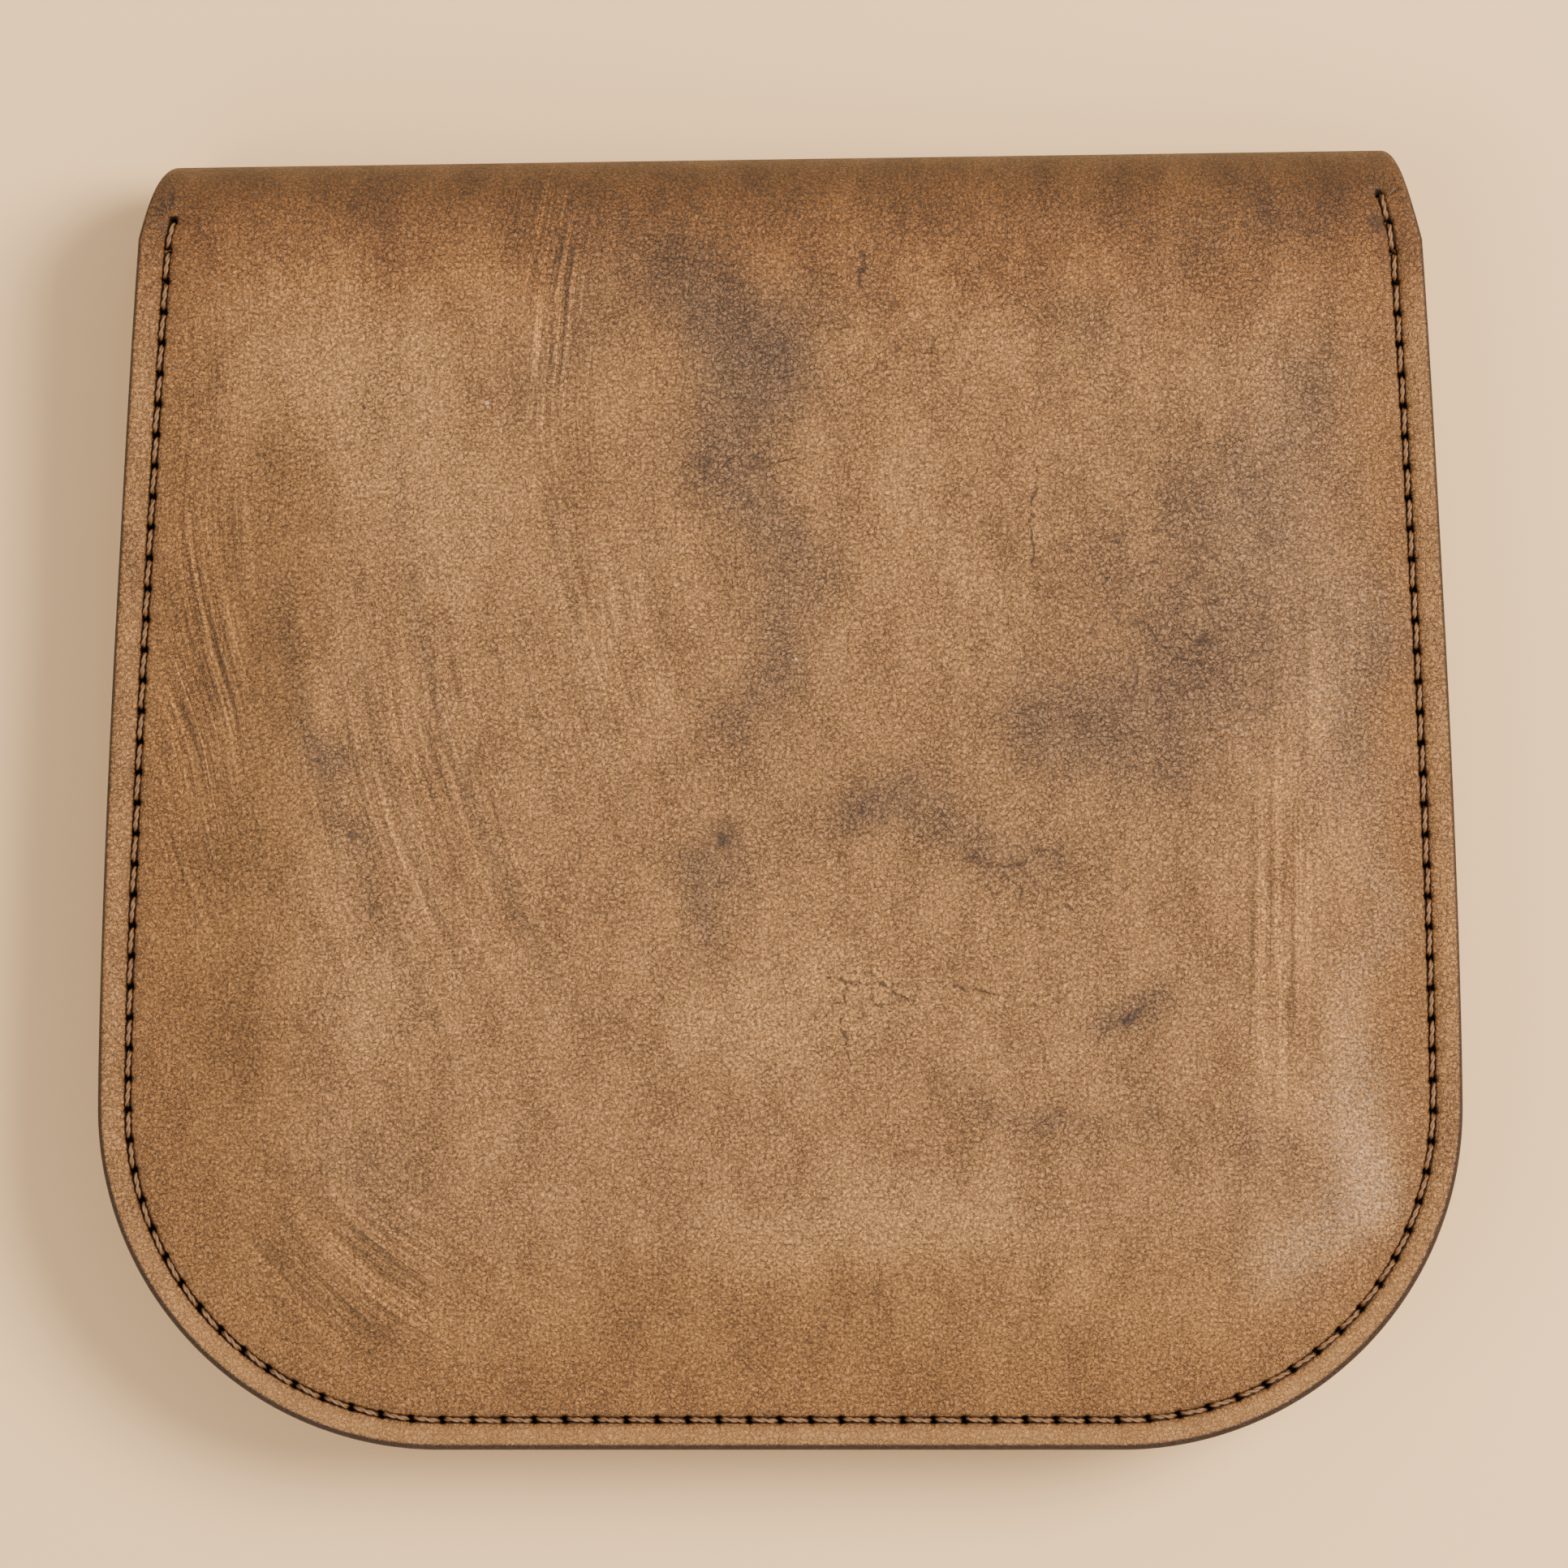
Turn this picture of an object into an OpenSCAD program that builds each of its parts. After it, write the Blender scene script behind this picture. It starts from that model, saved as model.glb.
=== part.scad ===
// Leather coin purse with a fold-over flap and a press stud.
// The purse lies on its front, so the back panel is on top and the flap is closed underneath.
// X runs across the purse, +Y runs from the bottom seam to the fold, and +Z is up.
// The table is z = 0, and the origin is below the middle of the purse's outline.

/* [Outline] */
// Width across the widest part, just above the bottom corners
purse_w = 112; // [104:1:118]
// Height from the bottom edge to the outside of the fold
purse_h = 106.5; // [100:0.5:112]
// Radius of the two bottom corners
corner_r = 28; // [22:1:30]
// Narrowing of each side between the bottom corner and the fold
side_taper = 3.3; // [0:0.1:5]
// Narrowing of each side from the start of the fold to its outermost line
waist = 2.7; // [0:0.1:4]

/* [Leather] */
// Thickness of the leather
leather_t = 1.5; // [1.3:0.1:1.6]
// Height of the seam above the table, where the two panels meet
seam_z = 11.2; // [11:0.1:11.6]
// Rise of the back panel above its seam
back_dome = 5.6; // [4:0.2:8]
// Drop of the front panel below its seam
front_dome = 4; // [3.6:0.1:4]
// Width of the flat edge that the two panels are sewn along
flange_w = 3.2; // [3:0.1:4]
// Width of the slope between the flat edge and the level middle
slope_w = 16; // [12:1:18]
// Outside radius of the fold
fold_r = 7.2; // [7:0.1:7.4]

/* [Flap and mouth] */
// Distance from the middle of the outline down to the flap's tip
flap_tip = 20; // [18:1:30]
// Radius of the flap's corners
flap_corner_r = 34; // [24:1:40]
// Depth of the curve cut into the top edge of the front panel
mouth_dip = 14; // [8:1:18]
// Turn round the fold at which the sides of the front panel end, in degrees
mouth_turn = 30; // [24:1:34]

/* [Stitching] */
// Distance from the edge to the line of stitches
stitch_margin = 2.45; // [2:0.05:2.8]
// Number of stitches from one end of the seam to the other
stitch_count = 113; // [90:1:130]
// Diameter of the thread
thread_d = 0.56; // [0.4:0.02:0.7]
// Distance from the outside of the fold to the first stitch
stitch_start = 4.4; // [4.2:0.2:8]

/* [Press stud] */
// Distance from the middle of the outline down to the press stud
stud_drop = 8.5; // [5:0.5:9]
// Radius of the cap on the outside of the flap
cap_r = 6.25; // [5.5:0.25:7]
// Height of the cap
cap_h = 0.9; // [0.8:0.1:1]
// Radius of the stud's head
stud_head_r = 1.9; // [1.7:0.1:2]
// Clearance round the stud's head in the socket
stud_clearance = 0.4; // [0.3:0.1:0.5]

/* [Hidden] */

tan_leather = [0.66, 0.47, 0.30];
flesh_leather = [0.74, 0.58, 0.42];
brown_thread = [0.42, 0.26, 0.16];
brass = [0.72, 0.56, 0.30];
steel = [0.70, 0.70, 0.72];
round_fn = 64;

// Driving places in the side view
half_w = purse_w / 2;
bottom_y = -purse_h / 2;
top_y = purse_h / 2;
corner_x = half_w - corner_r;        // centre of the right bottom corner
corner_y = bottom_y + corner_r;
fold_y = top_y - fold_r;             // centre of the fold
fold_z = fold_r;
hinge_a = 45;                        // turn round the fold at the upper crease
hinge_b = 135;                       // and at the lower one
hinge_gap = 1.2;                     // degrees between two pieces at a crease
fold_inner_r = fold_r - leather_t;
seam_rise = fold_z + fold_inner_r - seam_z;  // lift of the seam from the bottom up to the fold
seam_rise_from = 15;                 // y where the seam starts to lift
dome_fall_from = 18;                 // y where the back's dome starts to fall to the fold
panel_gap = 0.05;                    // glue line between the two panels
flap_half_w = half_w - side_taper - waist;
flap_taper = 1.5;                    // narrowing of each side of the flap from fold to corner
flap_y = -flap_tip + flap_corner_r;  // centre of the flap's corners
flap_lift_y = 8;                     // y past which the flap lies level with the cap
mouth_y = fold_y + fold_inner_r * sin(mouth_turn);  // top of the front panel at its sides
snap_y = -stud_drop;
edge_d = [0, 1.6, 3.2, 5.2, 8, 11.5, 15.5, 20, 27, 35, 45, half_w];  // columns, from the edge inwards
corner_step = 9;                     // degrees between rows round a corner
side_rows = 12;
mouth_rows = 4;                      // rows in the last stretch below the mouth's edge
fold_step = 11.25;                   // degrees between rows round the fold

function smooth(t) = let (c = max(0, min(1, t))) c * c * (3 - 2 * c);
function mix(a, b, t) = a + (b - a) * t;

// Outline; past fold_y the sides draw in with the fold
function side_lean(y) = pow(max(0, (min(y, fold_y) - corner_y) / (fold_y - corner_y)), 1.5);
function turn_at(y) = asin(min(1, max(0, (y - fold_y) / fold_r)));
function side_x(y) = half_w - side_taper * side_lean(y) - waist * turn_at(y) / 90;
function half_width(y) = y >= corner_y ? side_x(y)
    : corner_x + sqrt(max(0, corner_r * corner_r - pow(corner_y - y, 2)));
function edge_distance(x, y) = (abs(x) > corner_x && y < corner_y)
    ? corner_r - norm([abs(x) - corner_x, y - corner_y])
    : min(half_width(y) - abs(x), y - bottom_y);
function slope(x, y) = smooth((edge_distance(x, y) - flange_w) / slope_w);

// Height of a circle round the fold's centre at y
function arc_height(y, r) = fold_z + sqrt(max(0, r * r - pow(y - fold_y, 2)));

// Heights of the faces where the panels meet; past fold_y they follow the fold
function seam_height(y) = y > fold_y ? arc_height(y, fold_inner_r)
    : seam_z + seam_rise * smooth((y - seam_rise_from) / (fold_y - seam_rise_from));
function dome_share(y) = 1 - smooth((y - dome_fall_from) / (fold_y - dome_fall_from));
function back_inside(x, y) = seam_height(y) + back_dome * slope(x, y) * dome_share(y);
function front_inside(x, y) = let (rim = seam_height(y) - panel_gap)
    mix(rim, seam_z - panel_gap - front_dome, slope(x, y));
// Height of the outer faces along the seam, which the stitches lie on
function back_rim(y) = y > fold_y ? arc_height(y, fold_r) : seam_height(y) + leather_t;
function front_rim(y) = seam_height(y) - panel_gap - leather_t;

// Columns run from the left edge to the right one, as shares of the half width
shares = concat([for (d = edge_d) d / half_w - 1],
                [for (i = [len(edge_d) - 2 : -1 : 0]) 1 - edge_d[i] / half_w]);
corner_ys = [for (a = [0 : corner_step : 90]) corner_y - corner_r * cos(a)];

// A closed sheet between two grids of points; the first lies on the side of (columns x rows)
module sheet(top, bottom) {
    rows = len(top);
    cols = len(top[0]);
    n = rows * cols;
    function at(i, j, k) = k * n + i * cols + j;
    points = [for (g = [top, bottom]) for (row = g) for (p = row) p];
    faces = [
        for (i = [0 : rows - 2]) for (j = [0 : cols - 2]) for (f = [
            [at(i, j, 0), at(i + 1, j, 0), at(i + 1, j + 1, 0)],
            [at(i, j, 0), at(i + 1, j + 1, 0), at(i, j + 1, 0)],
            [at(i, j, 1), at(i + 1, j + 1, 1), at(i + 1, j, 1)],
            [at(i, j, 1), at(i, j + 1, 1), at(i + 1, j + 1, 1)]]) f,
        for (i = [0 : rows - 2]) for (f = [
            [at(i, 0, 0), at(i, 0, 1), at(i + 1, 0, 1)],
            [at(i, 0, 0), at(i + 1, 0, 1), at(i + 1, 0, 0)],
            [at(i, cols - 1, 0), at(i + 1, cols - 1, 1), at(i, cols - 1, 1)],
            [at(i, cols - 1, 0), at(i + 1, cols - 1, 0), at(i + 1, cols - 1, 1)]]) f,
        for (j = [0 : cols - 2]) for (f = [
            [at(0, j, 0), at(0, j + 1, 1), at(0, j, 1)],
            [at(0, j, 0), at(0, j + 1, 0), at(0, j + 1, 1)],
            [at(rows - 1, j, 0), at(rows - 1, j, 1), at(rows - 1, j + 1, 1)],
            [at(rows - 1, j, 0), at(rows - 1, j + 1, 1), at(rows - 1, j + 1, 0)]]) f];
    polyhedron(points = points, faces = faces, convexity = 6);
}

// Half width of the leather round the fold, from 0 at its upper start to 180 at its lower one
function fold_half_width(a) = side_x(fold_y) - waist * min(1, a / 90);
function fold_row(a, r) = [for (u = shares)
    [u * fold_half_width(a), fold_y + r * sin(a), fold_z + r * cos(a)]];
function fold_rows(from, to, r) = let (n = ceil((to - from) / fold_step))
    [for (i = [0 : n]) fold_row(mix(from, to, i / n), r)];

function back_ys() = concat(corner_ys,
    [for (i = [1 : side_rows - 1]) mix(corner_y, fold_y, i / side_rows)]);
function back_grid(lift) = [for (y = back_ys()) [for (u = shares)
    let (x = u * half_width(y)) [x, y, back_inside(x, y) + lift]]];

module back_panel() {
    turn = hinge_a - hinge_gap;
    color(tan_leather)
        sheet(concat(back_grid(leather_t), fold_rows(0, turn, fold_r)),
              concat(back_grid(0), fold_rows(0, turn, fold_inner_r)));
}

module top_fold() {
    color(tan_leather)
        sheet(fold_rows(hinge_a, hinge_b, fold_r),
              fold_rows(hinge_a, hinge_b, fold_inner_r));
}

// The flap, from the fold's lower start to its tip
function flap_side(y) = flap_half_w - flap_taper * smooth((fold_y - y) / (fold_y - flap_y));
function flap_half(y) = y >= flap_y ? flap_side(y)
    : flap_side(flap_y) - flap_corner_r + sqrt(max(0, flap_corner_r * flap_corner_r - pow(flap_y - y, 2)));
function flap_outside(y) = cap_h * smooth((fold_y - y) / (fold_y - flap_lift_y));
flap_ys = concat([for (i = [1 : side_rows]) mix(fold_y, flap_y, i / side_rows)],
                 [for (a = [corner_step : corner_step : 90]) flap_y - flap_corner_r * sin(a)]);
function flap_grid(lift) = [for (y = flap_ys) [for (u = shares)
    [u * flap_half(y), y, flap_outside(y) + lift]]];

module flap() {
    turn = hinge_b + hinge_gap;
    color(tan_leather)
        difference() {
            sheet(concat(fold_rows(turn, 180, fold_r), flap_grid(0)),
                  concat(fold_rows(turn, 180, fold_inner_r), flap_grid(leather_t)));
            on_stud(-1) cylinder(r = cap_rivet_r + rivet_play, h = cap_h + leather_t + 2, $fn = round_fn);
        }
}

// The front panel, whose top edge is cut in a shallow curve so that a thumb reaches in
function mouth_edge(u) = mouth_y - mouth_dip * pow(1 - u * u, 1.5);
front_last = mouth_y - fold_y;       // length of the stretch that follows the fold at the sides
function front_ys(u) = let (last = mouth_edge(u) - front_last) concat(corner_ys,
    [for (i = [1 : side_rows]) mix(corner_y, last, i / side_rows)],
    [for (i = [1 : mouth_rows]) mix(last, mouth_edge(u), i / mouth_rows)]);
function front_grid(lift) = let (columns = [for (u = shares) front_ys(u)])
    [for (row = [0 : len(columns[0]) - 1]) [for (j = [0 : len(shares) - 1])
        let (y = columns[j][row], x = shares[j] * half_width(y)) [x, y, front_inside(x, y) + lift]]];

module front_panel() {
    color(tan_leather)
        difference() {
            sheet(front_grid(0), front_grid(-leather_t));
            on_stud(stud_base_z - 1) cylinder(r = post_r + rivet_play, h = leather_t + 3, $fn = round_fn);
        }
}

// Stitches: the line runs a fixed distance inside the edge, measured from the middle of the bottom
stitch_r = corner_r - stitch_margin;
run_corner = corner_x + stitch_r * PI / 2;
half_run = run_corner + top_y - stitch_start - corner_y;
function stitch_point(s) = let (t = abs(s), side = s < 0 ? -1 : 1)
    t <= corner_x ? [s, bottom_y + stitch_margin]
    : t <= run_corner ? let (a = (t - corner_x) / stitch_r * 180 / PI)
        [side * (corner_x + stitch_r * sin(a)), corner_y - stitch_r * cos(a)]
    : let (y = corner_y + t - run_corner) [side * (side_x(y) - stitch_margin), y];

thread_play = 0.06;                  // gap between the thread and the leather under it
stitch_share = 0.8;                  // length of a stitch's cylinder over the pitch
module stitch_row(side) {
    pitch = 2 * half_run / stitch_count;
    lift = side * (thread_d / 2 + thread_play);
    function on_face(p) = [p[0], p[1], (side > 0 ? back_rim(p[1]) : front_rim(p[1])) + lift];
    for (i = [0 : stitch_count - 1]) {
        a = on_face(stitch_point(-half_run + i * pitch));
        b = on_face(stitch_point(-half_run + (i + 1) * pitch));
        along = b - a;
        translate((a + b) / 2)
            rotate([0, acos(along[2] / norm(along)), atan2(along[1], along[0])])
                cylinder(d = thread_d, h = pitch * stitch_share, center = true, $fn = 16);
    }
}

module back_stitches() { color(brown_thread) stitch_row(1); }
module front_stitches() { color(brown_thread) stitch_row(-1); }

// Press stud: the cap and socket are riveted through the flap, the stud and post through the front panel
cap_rivet_r = 1.6;
post_r = 1.2;
rivet_play = 0.1;                    // between a rivet and its hole in the leather
flap_top_z = cap_h + leather_t;
socket_floor = 0.9;
socket_r = 5.2;
socket_wall = 0.9;
ring_wire_r = 0.25;
ring_r = stud_head_r + stud_clearance + ring_wire_r;
stud_base_z = seam_z - panel_gap - front_dome - leather_t;  // grain side of the front panel
stud_plate = 0.5;
stud_head_z = flap_top_z + socket_floor + 0.4;
socket_top_z = stud_base_z - stud_plate - 0.1;
ring_z = socket_top_z - 0.6;
plate_r = 4.8;

module on_stud(z) { translate([0, snap_y, z]) children(); }

// A turned piece from its half section, drawn as [radius, height] points
module turned(section) { rotate_extrude($fn = round_fn) polygon(section); }

module snap_cap() {
    rivet_top = flap_top_z + socket_floor;
    flare = 0.3;
    color(brass) on_stud(0) turned([
        [0, 0], [cap_r - 1, 0], [cap_r - 0.3, 0.2], [cap_r, 0.6], [cap_r, cap_h],
        [cap_rivet_r, cap_h], [cap_rivet_r, rivet_top], [cap_rivet_r + 0.5, rivet_top],
        [cap_rivet_r + 0.5, rivet_top + flare], [1, rivet_top + flare], [1, cap_h], [0, cap_h]]);
}

module snap_socket() {
    bore = stud_head_r + stud_clearance;
    groove = ring_r + ring_wire_r + 0.15;
    hole = cap_rivet_r + rivet_play / 2;
    floor_z = flap_top_z + socket_floor;
    color(brass) on_stud(0) turned([
        [hole, flap_top_z], [socket_r, flap_top_z], [socket_r, flap_top_z + 0.7],
        [groove + socket_wall, flap_top_z + 1.2], [groove + socket_wall, socket_top_z - 0.3],
        [groove + socket_wall - 0.3, socket_top_z], [bore, socket_top_z],
        [bore, ring_z + ring_wire_r + 0.1], [groove, ring_z + ring_wire_r + 0.1],
        [groove, floor_z], [hole, floor_z]]);
}

module socket_ring_spring() {
    ring_turn = 330;
    color(steel) on_stud(ring_z)
        rotate([0, 0, (360 - ring_turn) / 2])
            rotate_extrude(angle = ring_turn, $fn = round_fn)
                translate([ring_r, 0]) circle(r = ring_wire_r, $fn = 24);
}

module snap_stud() {
    neck_r = 1.55;
    bore = post_r + 0.05;
    color(brass) on_stud(0) turned([
        [bore, stud_base_z], [plate_r, stud_base_z], [plate_r, stud_base_z - 0.3],
        [plate_r - 0.4, stud_base_z - stud_plate], [neck_r, stud_base_z - stud_plate],
        [neck_r, stud_head_z + 0.8], [stud_head_r, stud_head_z + 0.5], [stud_head_r, stud_head_z + 0.25],
        [stud_head_r - 0.3, stud_head_z], [bore, stud_head_z]]);
}

module snap_post() {
    inside_z = stud_base_z + leather_t;
    head_h = 0.6;
    color(brass) on_stud(0) turned([
        [0, stud_head_z + 0.2], [post_r, stud_head_z + 0.2], [post_r, inside_z],
        [plate_r - 0.4, inside_z], [plate_r - 0.4, inside_z + 0.3],
        [plate_r - 1, inside_z + head_h], [0, inside_z + head_h]]);
}

back_panel();
top_fold();
flap();
front_panel();
back_stitches();
front_stitches();
snap_cap();
snap_socket();
socket_ring_spring();
snap_stud();
snap_post();
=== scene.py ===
import math

import bpy
import numpy as np
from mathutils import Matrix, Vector
from mathutils.geometry import delaunay_2d_cdt


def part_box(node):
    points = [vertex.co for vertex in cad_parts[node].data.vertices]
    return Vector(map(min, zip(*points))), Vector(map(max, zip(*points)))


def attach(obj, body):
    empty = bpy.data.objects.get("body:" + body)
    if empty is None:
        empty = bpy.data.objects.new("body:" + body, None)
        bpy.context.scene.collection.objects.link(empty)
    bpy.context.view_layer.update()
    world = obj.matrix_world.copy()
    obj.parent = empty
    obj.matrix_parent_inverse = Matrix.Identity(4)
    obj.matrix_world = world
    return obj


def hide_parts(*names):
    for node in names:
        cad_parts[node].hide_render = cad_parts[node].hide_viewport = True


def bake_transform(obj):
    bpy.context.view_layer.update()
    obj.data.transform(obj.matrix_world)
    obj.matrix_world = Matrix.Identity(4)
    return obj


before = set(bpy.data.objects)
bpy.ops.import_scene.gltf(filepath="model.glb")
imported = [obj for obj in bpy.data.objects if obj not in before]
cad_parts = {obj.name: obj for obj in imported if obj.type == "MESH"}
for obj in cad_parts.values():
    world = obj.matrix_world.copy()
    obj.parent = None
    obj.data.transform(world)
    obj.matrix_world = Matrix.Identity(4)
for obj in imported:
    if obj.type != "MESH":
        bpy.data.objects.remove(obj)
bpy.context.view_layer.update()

# Lengths are in millimetres until a mesh is made. The frame is the CAD's: the purse lies on its flap,
# +X runs across it, +Y runs from the bottom seam to the fold and +Z is up out of the back panel.
MM = 0.001
rng = np.random.default_rng(7)


# ---- Sizes, from the frame and from the design ----

def box_mm(node):
    low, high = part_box(node)
    return np.array(low) / MM, np.array(high) / MM


back_low, back_high = box_mm("back_panel")
fold_high = box_mm("top_fold")[1]
flap_low = box_mm("flap")[0]
cap_low, cap_high = box_mm("snap_cap")

LEATHER = 1.5
FOLD_LEATHER = 1.1              # the leather is pared thinner where it turns
HALF_WIDTH = back_high[0]
BOTTOM_Y = back_low[1]
TOP_Y = fold_high[1]
CORNER_R = 28.0
SIDE_TAPER = 3.3
WAIST = 2.7                     # narrowing of each side round the fold
FOLD_R = 7.2
FOLD_Y = TOP_Y - FOLD_R
FOLD_Z = FOLD_R
SEAM_Z = 11.2                   # height of the joint between the panels at the bottom
BACK_DOME = 5.6
FRONT_DOME = 4.0
FLANGE = 3.2
SLOPE = 16.0
SEAM_RISE_FROM = 15.0
DOME_FALL_FROM = 18.0
STITCH_MARGIN = 2.45
STITCH_COUNT = 113
STITCH_START = 4.4
SEAM_SHIFT = 1.2                # the seam is sewn a little further up on the right than on the left
MOUTH_TURN = math.radians(30)
MOUTH_DIP = 14.0
PANEL_GAP = 0.05
FLAP_TIP_Y = flap_low[1]
FLAP_CORNER_R = 34.0
FLAP_TAPER = 1.5
CAP_HEIGHT = 0.9                # height of the press stud's cap, which the flap lies on
FLAP_LIFT_Y = 8.0
SNAP_Y = (cap_low[1] + cap_high[1]) / 2
FLAP_HOLE_R = 1.65              # the cap's stem goes through the flap inside this radius
FRONT_HOLE_R = 1.25             # and the post through the front inside this one
FRONT_HIDE_Y = 160.0            # the front is cut from another part of the hide than the back
FOLD_SKEW = 0.0146              # the fold stands this much further out for each mm to the right


def smooth(t):
    t = np.clip(t, 0, 1)
    return t * t * (3 - 2 * t)


def mix(a, b, t):
    return a + (b - a) * t


def blobs(x, y, places):
    """Sum of soft round hills: each has its middle, a radius along each axis and a height."""
    return sum(height * np.exp(-((x - middle_x) / radius_x) ** 2 - ((y - middle_y) / radius_y) ** 2)
               for middle_x, middle_y, radius_x, radius_y, height in places)


# ---- Outlines ----

class Outline:
    """A U: a straight bottom, two round corners and two sides given as a half width at each y."""

    def __init__(self, bottom_y, corner_r, side):
        self.bottom_y = bottom_y
        self.corner_r = corner_r
        self.corner_y = bottom_y + corner_r
        self.side = side
        self.corner_x = float(side(self.corner_y)) - corner_r
        self.turn = self.corner_x + corner_r * math.pi / 2

    def run_to(self, y):
        """Run along the edge from the middle of the bottom to a side at y."""
        return self.turn + y - self.corner_y

    def edge_run(self, run, inset):
        """Run along the edge for a run that is measured along the line at an inset."""
        t = np.abs(run)
        inner_r = self.corner_r - inset
        inner_turn = self.corner_x + inner_r * math.pi / 2
        in_corner = self.corner_x + (t - self.corner_x) / inner_r * self.corner_r
        out = np.where(t < self.corner_x, t, np.where(t < inner_turn, in_corner, self.turn + t - inner_turn))
        return np.sign(run) * out

    def point(self, run, inset):
        """x and y at a run along the edge from the middle of the bottom, moved in by an inset."""
        run, inset = np.broadcast_arrays(np.asarray(run, float), np.asarray(inset, float))
        t = np.abs(run)
        angle = np.clip((t - self.corner_x) / self.corner_r, 0, math.pi / 2)
        r = self.corner_r - inset
        side_y = self.corner_y + t - self.turn
        x = np.where(t < self.corner_x, t,
                     np.where(t < self.turn, self.corner_x + r * np.sin(angle), self.side(side_y) - inset))
        y = np.where(t < self.corner_x, self.bottom_y + inset,
                     np.where(t < self.turn, self.corner_y - r * np.cos(angle), side_y))
        return np.sign(run) * x, y

    def half_width(self, y):
        corner = self.corner_x + np.sqrt(np.maximum(0, self.corner_r ** 2 - (self.corner_y - y) ** 2))
        return np.where(y >= self.corner_y, self.side(y), corner)

    def edge_distance(self, x, y):
        ax = np.abs(x)
        corner = self.corner_r - np.hypot(ax - self.corner_x, y - self.corner_y)
        straight = np.minimum(self.side(y) - ax, y - self.bottom_y)
        return np.where((ax > self.corner_x) & (y < self.corner_y), corner, straight)


CORNER_Y = BOTTOM_Y + CORNER_R


def body_side(y):
    """Half width of the sides, which draw in with the fold past its start."""
    y = np.asarray(y, float)
    lean = np.clip((y - CORNER_Y) / (FOLD_Y - CORNER_Y), 0, 1)
    turn = np.arcsin(np.clip((y - FOLD_Y) / FOLD_R, 0, 1))
    return HALF_WIDTH - SIDE_TAPER * lean ** 1.5 - WAIST * turn / (math.pi / 2)


FLAP_HALF = HALF_WIDTH - SIDE_TAPER - WAIST
FLAP_HIDE_Y = FOLD_Y + math.pi * FOLD_R + FOLD_Y     # run over the hide to y = 0 on the flap
FLAP_CORNER_Y = FLAP_TIP_Y + FLAP_CORNER_R


def flap_side(y):
    return FLAP_HALF - FLAP_TAPER * smooth((FOLD_Y - np.asarray(y, float)) / (FOLD_Y - FLAP_CORNER_Y))


body = Outline(BOTTOM_Y, CORNER_R, body_side)
flap_outline = Outline(FLAP_TIP_Y, FLAP_CORNER_R, flap_side)


# ---- The seam ----

stitch_r = CORNER_R - STITCH_MARGIN
half_run = body.corner_x + stitch_r * math.pi / 2 + TOP_Y - STITCH_START - CORNER_Y
stitch_runs = np.linspace(-half_run, half_run, STITCH_COUNT + 1) + SEAM_SHIFT
hole_runs = body.edge_run(stitch_runs, STITCH_MARGIN)
hole_x, hole_y = body.point(hole_runs, STITCH_MARGIN)
PITCH = 2 * half_run / STITCH_COUNT


def past_seam(x, y):
    """How far a point lies above the seam's first hole on its side."""
    return y - (TOP_Y - STITCH_START + SEAM_SHIFT * np.sign(x))


def hole_distance(x, y):
    """Distance from each point to the nearest stitch hole."""
    out = np.full(x.shape, 99.0)
    near = body.edge_distance(x, y) < STITCH_MARGIN + 4
    px, py = x[near][:, None], y[near][:, None]
    out[near] = np.hypot(px - hole_x[None, :], py - hole_y[None, :]).min(1)
    return out


HOLE_HALF_WIDTH = 0.36          # the holes are slits along the seam
HOLE_HALF_LENGTH = 0.46
GROOVE_DEPTH = 0.34
PIT_DEPTH = 0.95
FAR = 9.0                       # stands for any distance that is too long to matter


def hole_shape(x, y):
    """0 in the middle of a hole and 1 on its rim."""
    across = body.edge_distance(x, y) - STITCH_MARGIN
    along = np.sqrt(np.maximum(0, hole_distance(x, y) ** 2 - across ** 2))
    return np.minimum(FAR, np.hypot(across / HOLE_HALF_WIDTH, along / HOLE_HALF_LENGTH))


def seam_relief(x, y):
    """Depth that the seam pulls the leather down by: a valley, a groove and a pit at each hole."""
    across = body.edge_distance(x, y) - STITCH_MARGIN
    along = smooth((0.7 - past_seam(x, y)) / 0.9)
    hole = hole_distance(x, y)
    valley = 0.16 * np.exp(-(across / 1.5) ** 2)
    line = GROOVE_DEPTH * np.exp(-(across / 0.34) ** 2)
    pull = 0.12 * np.exp(-(hole / 0.85) ** 2)
    return (valley + line) * along + pull + PIT_DEPTH * np.exp(-(hole / 0.34) ** 4)


def edge_round(inset, radius=0.5):
    """How far a face drops towards a rounded edge."""
    t = np.clip(1 - inset / radius, 0, 1)
    return radius * (1 - np.sqrt(1 - t * t))


# ---- Heights of the panels ----

def arc_height(y, r):
    return FOLD_Z + np.sqrt(np.maximum(0, r * r - (y - FOLD_Y) ** 2))


def fold_lean(x, angle):
    """The leather is folded a little askew: further out on the right and less far on the left."""
    return FOLD_SKEW * x * np.sin(angle) ** 2


INNER_R = FOLD_R - LEATHER


def seam_height(y):
    rise = FOLD_Z + INNER_R - SEAM_Z
    below = SEAM_Z + rise * smooth((y - SEAM_RISE_FROM) / (FOLD_Y - SEAM_RISE_FROM))
    return np.where(y > FOLD_Y, arc_height(y, INNER_R), below)


def slope(outline, x, y):
    return smooth((outline.edge_distance(x, y) - FLANGE) / SLOPE)


# Slow rises and hollows that handling has left in the back: x, y, radius along each axis and height
HAND_WAVES = [(-20, 20, 12, 20, 0.35), (2, 26, 13, 11, -0.30), (26, -6, 16, 12, 0.30),
              (-4, -8, 16, 9, -0.28), (4, -33, 22, 9, 0.35), (-33, -12, 7, 18, -0.22),
              (36, -30, 9, 9, 0.25), (38, 12, 5, 16, -0.20)]

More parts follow.
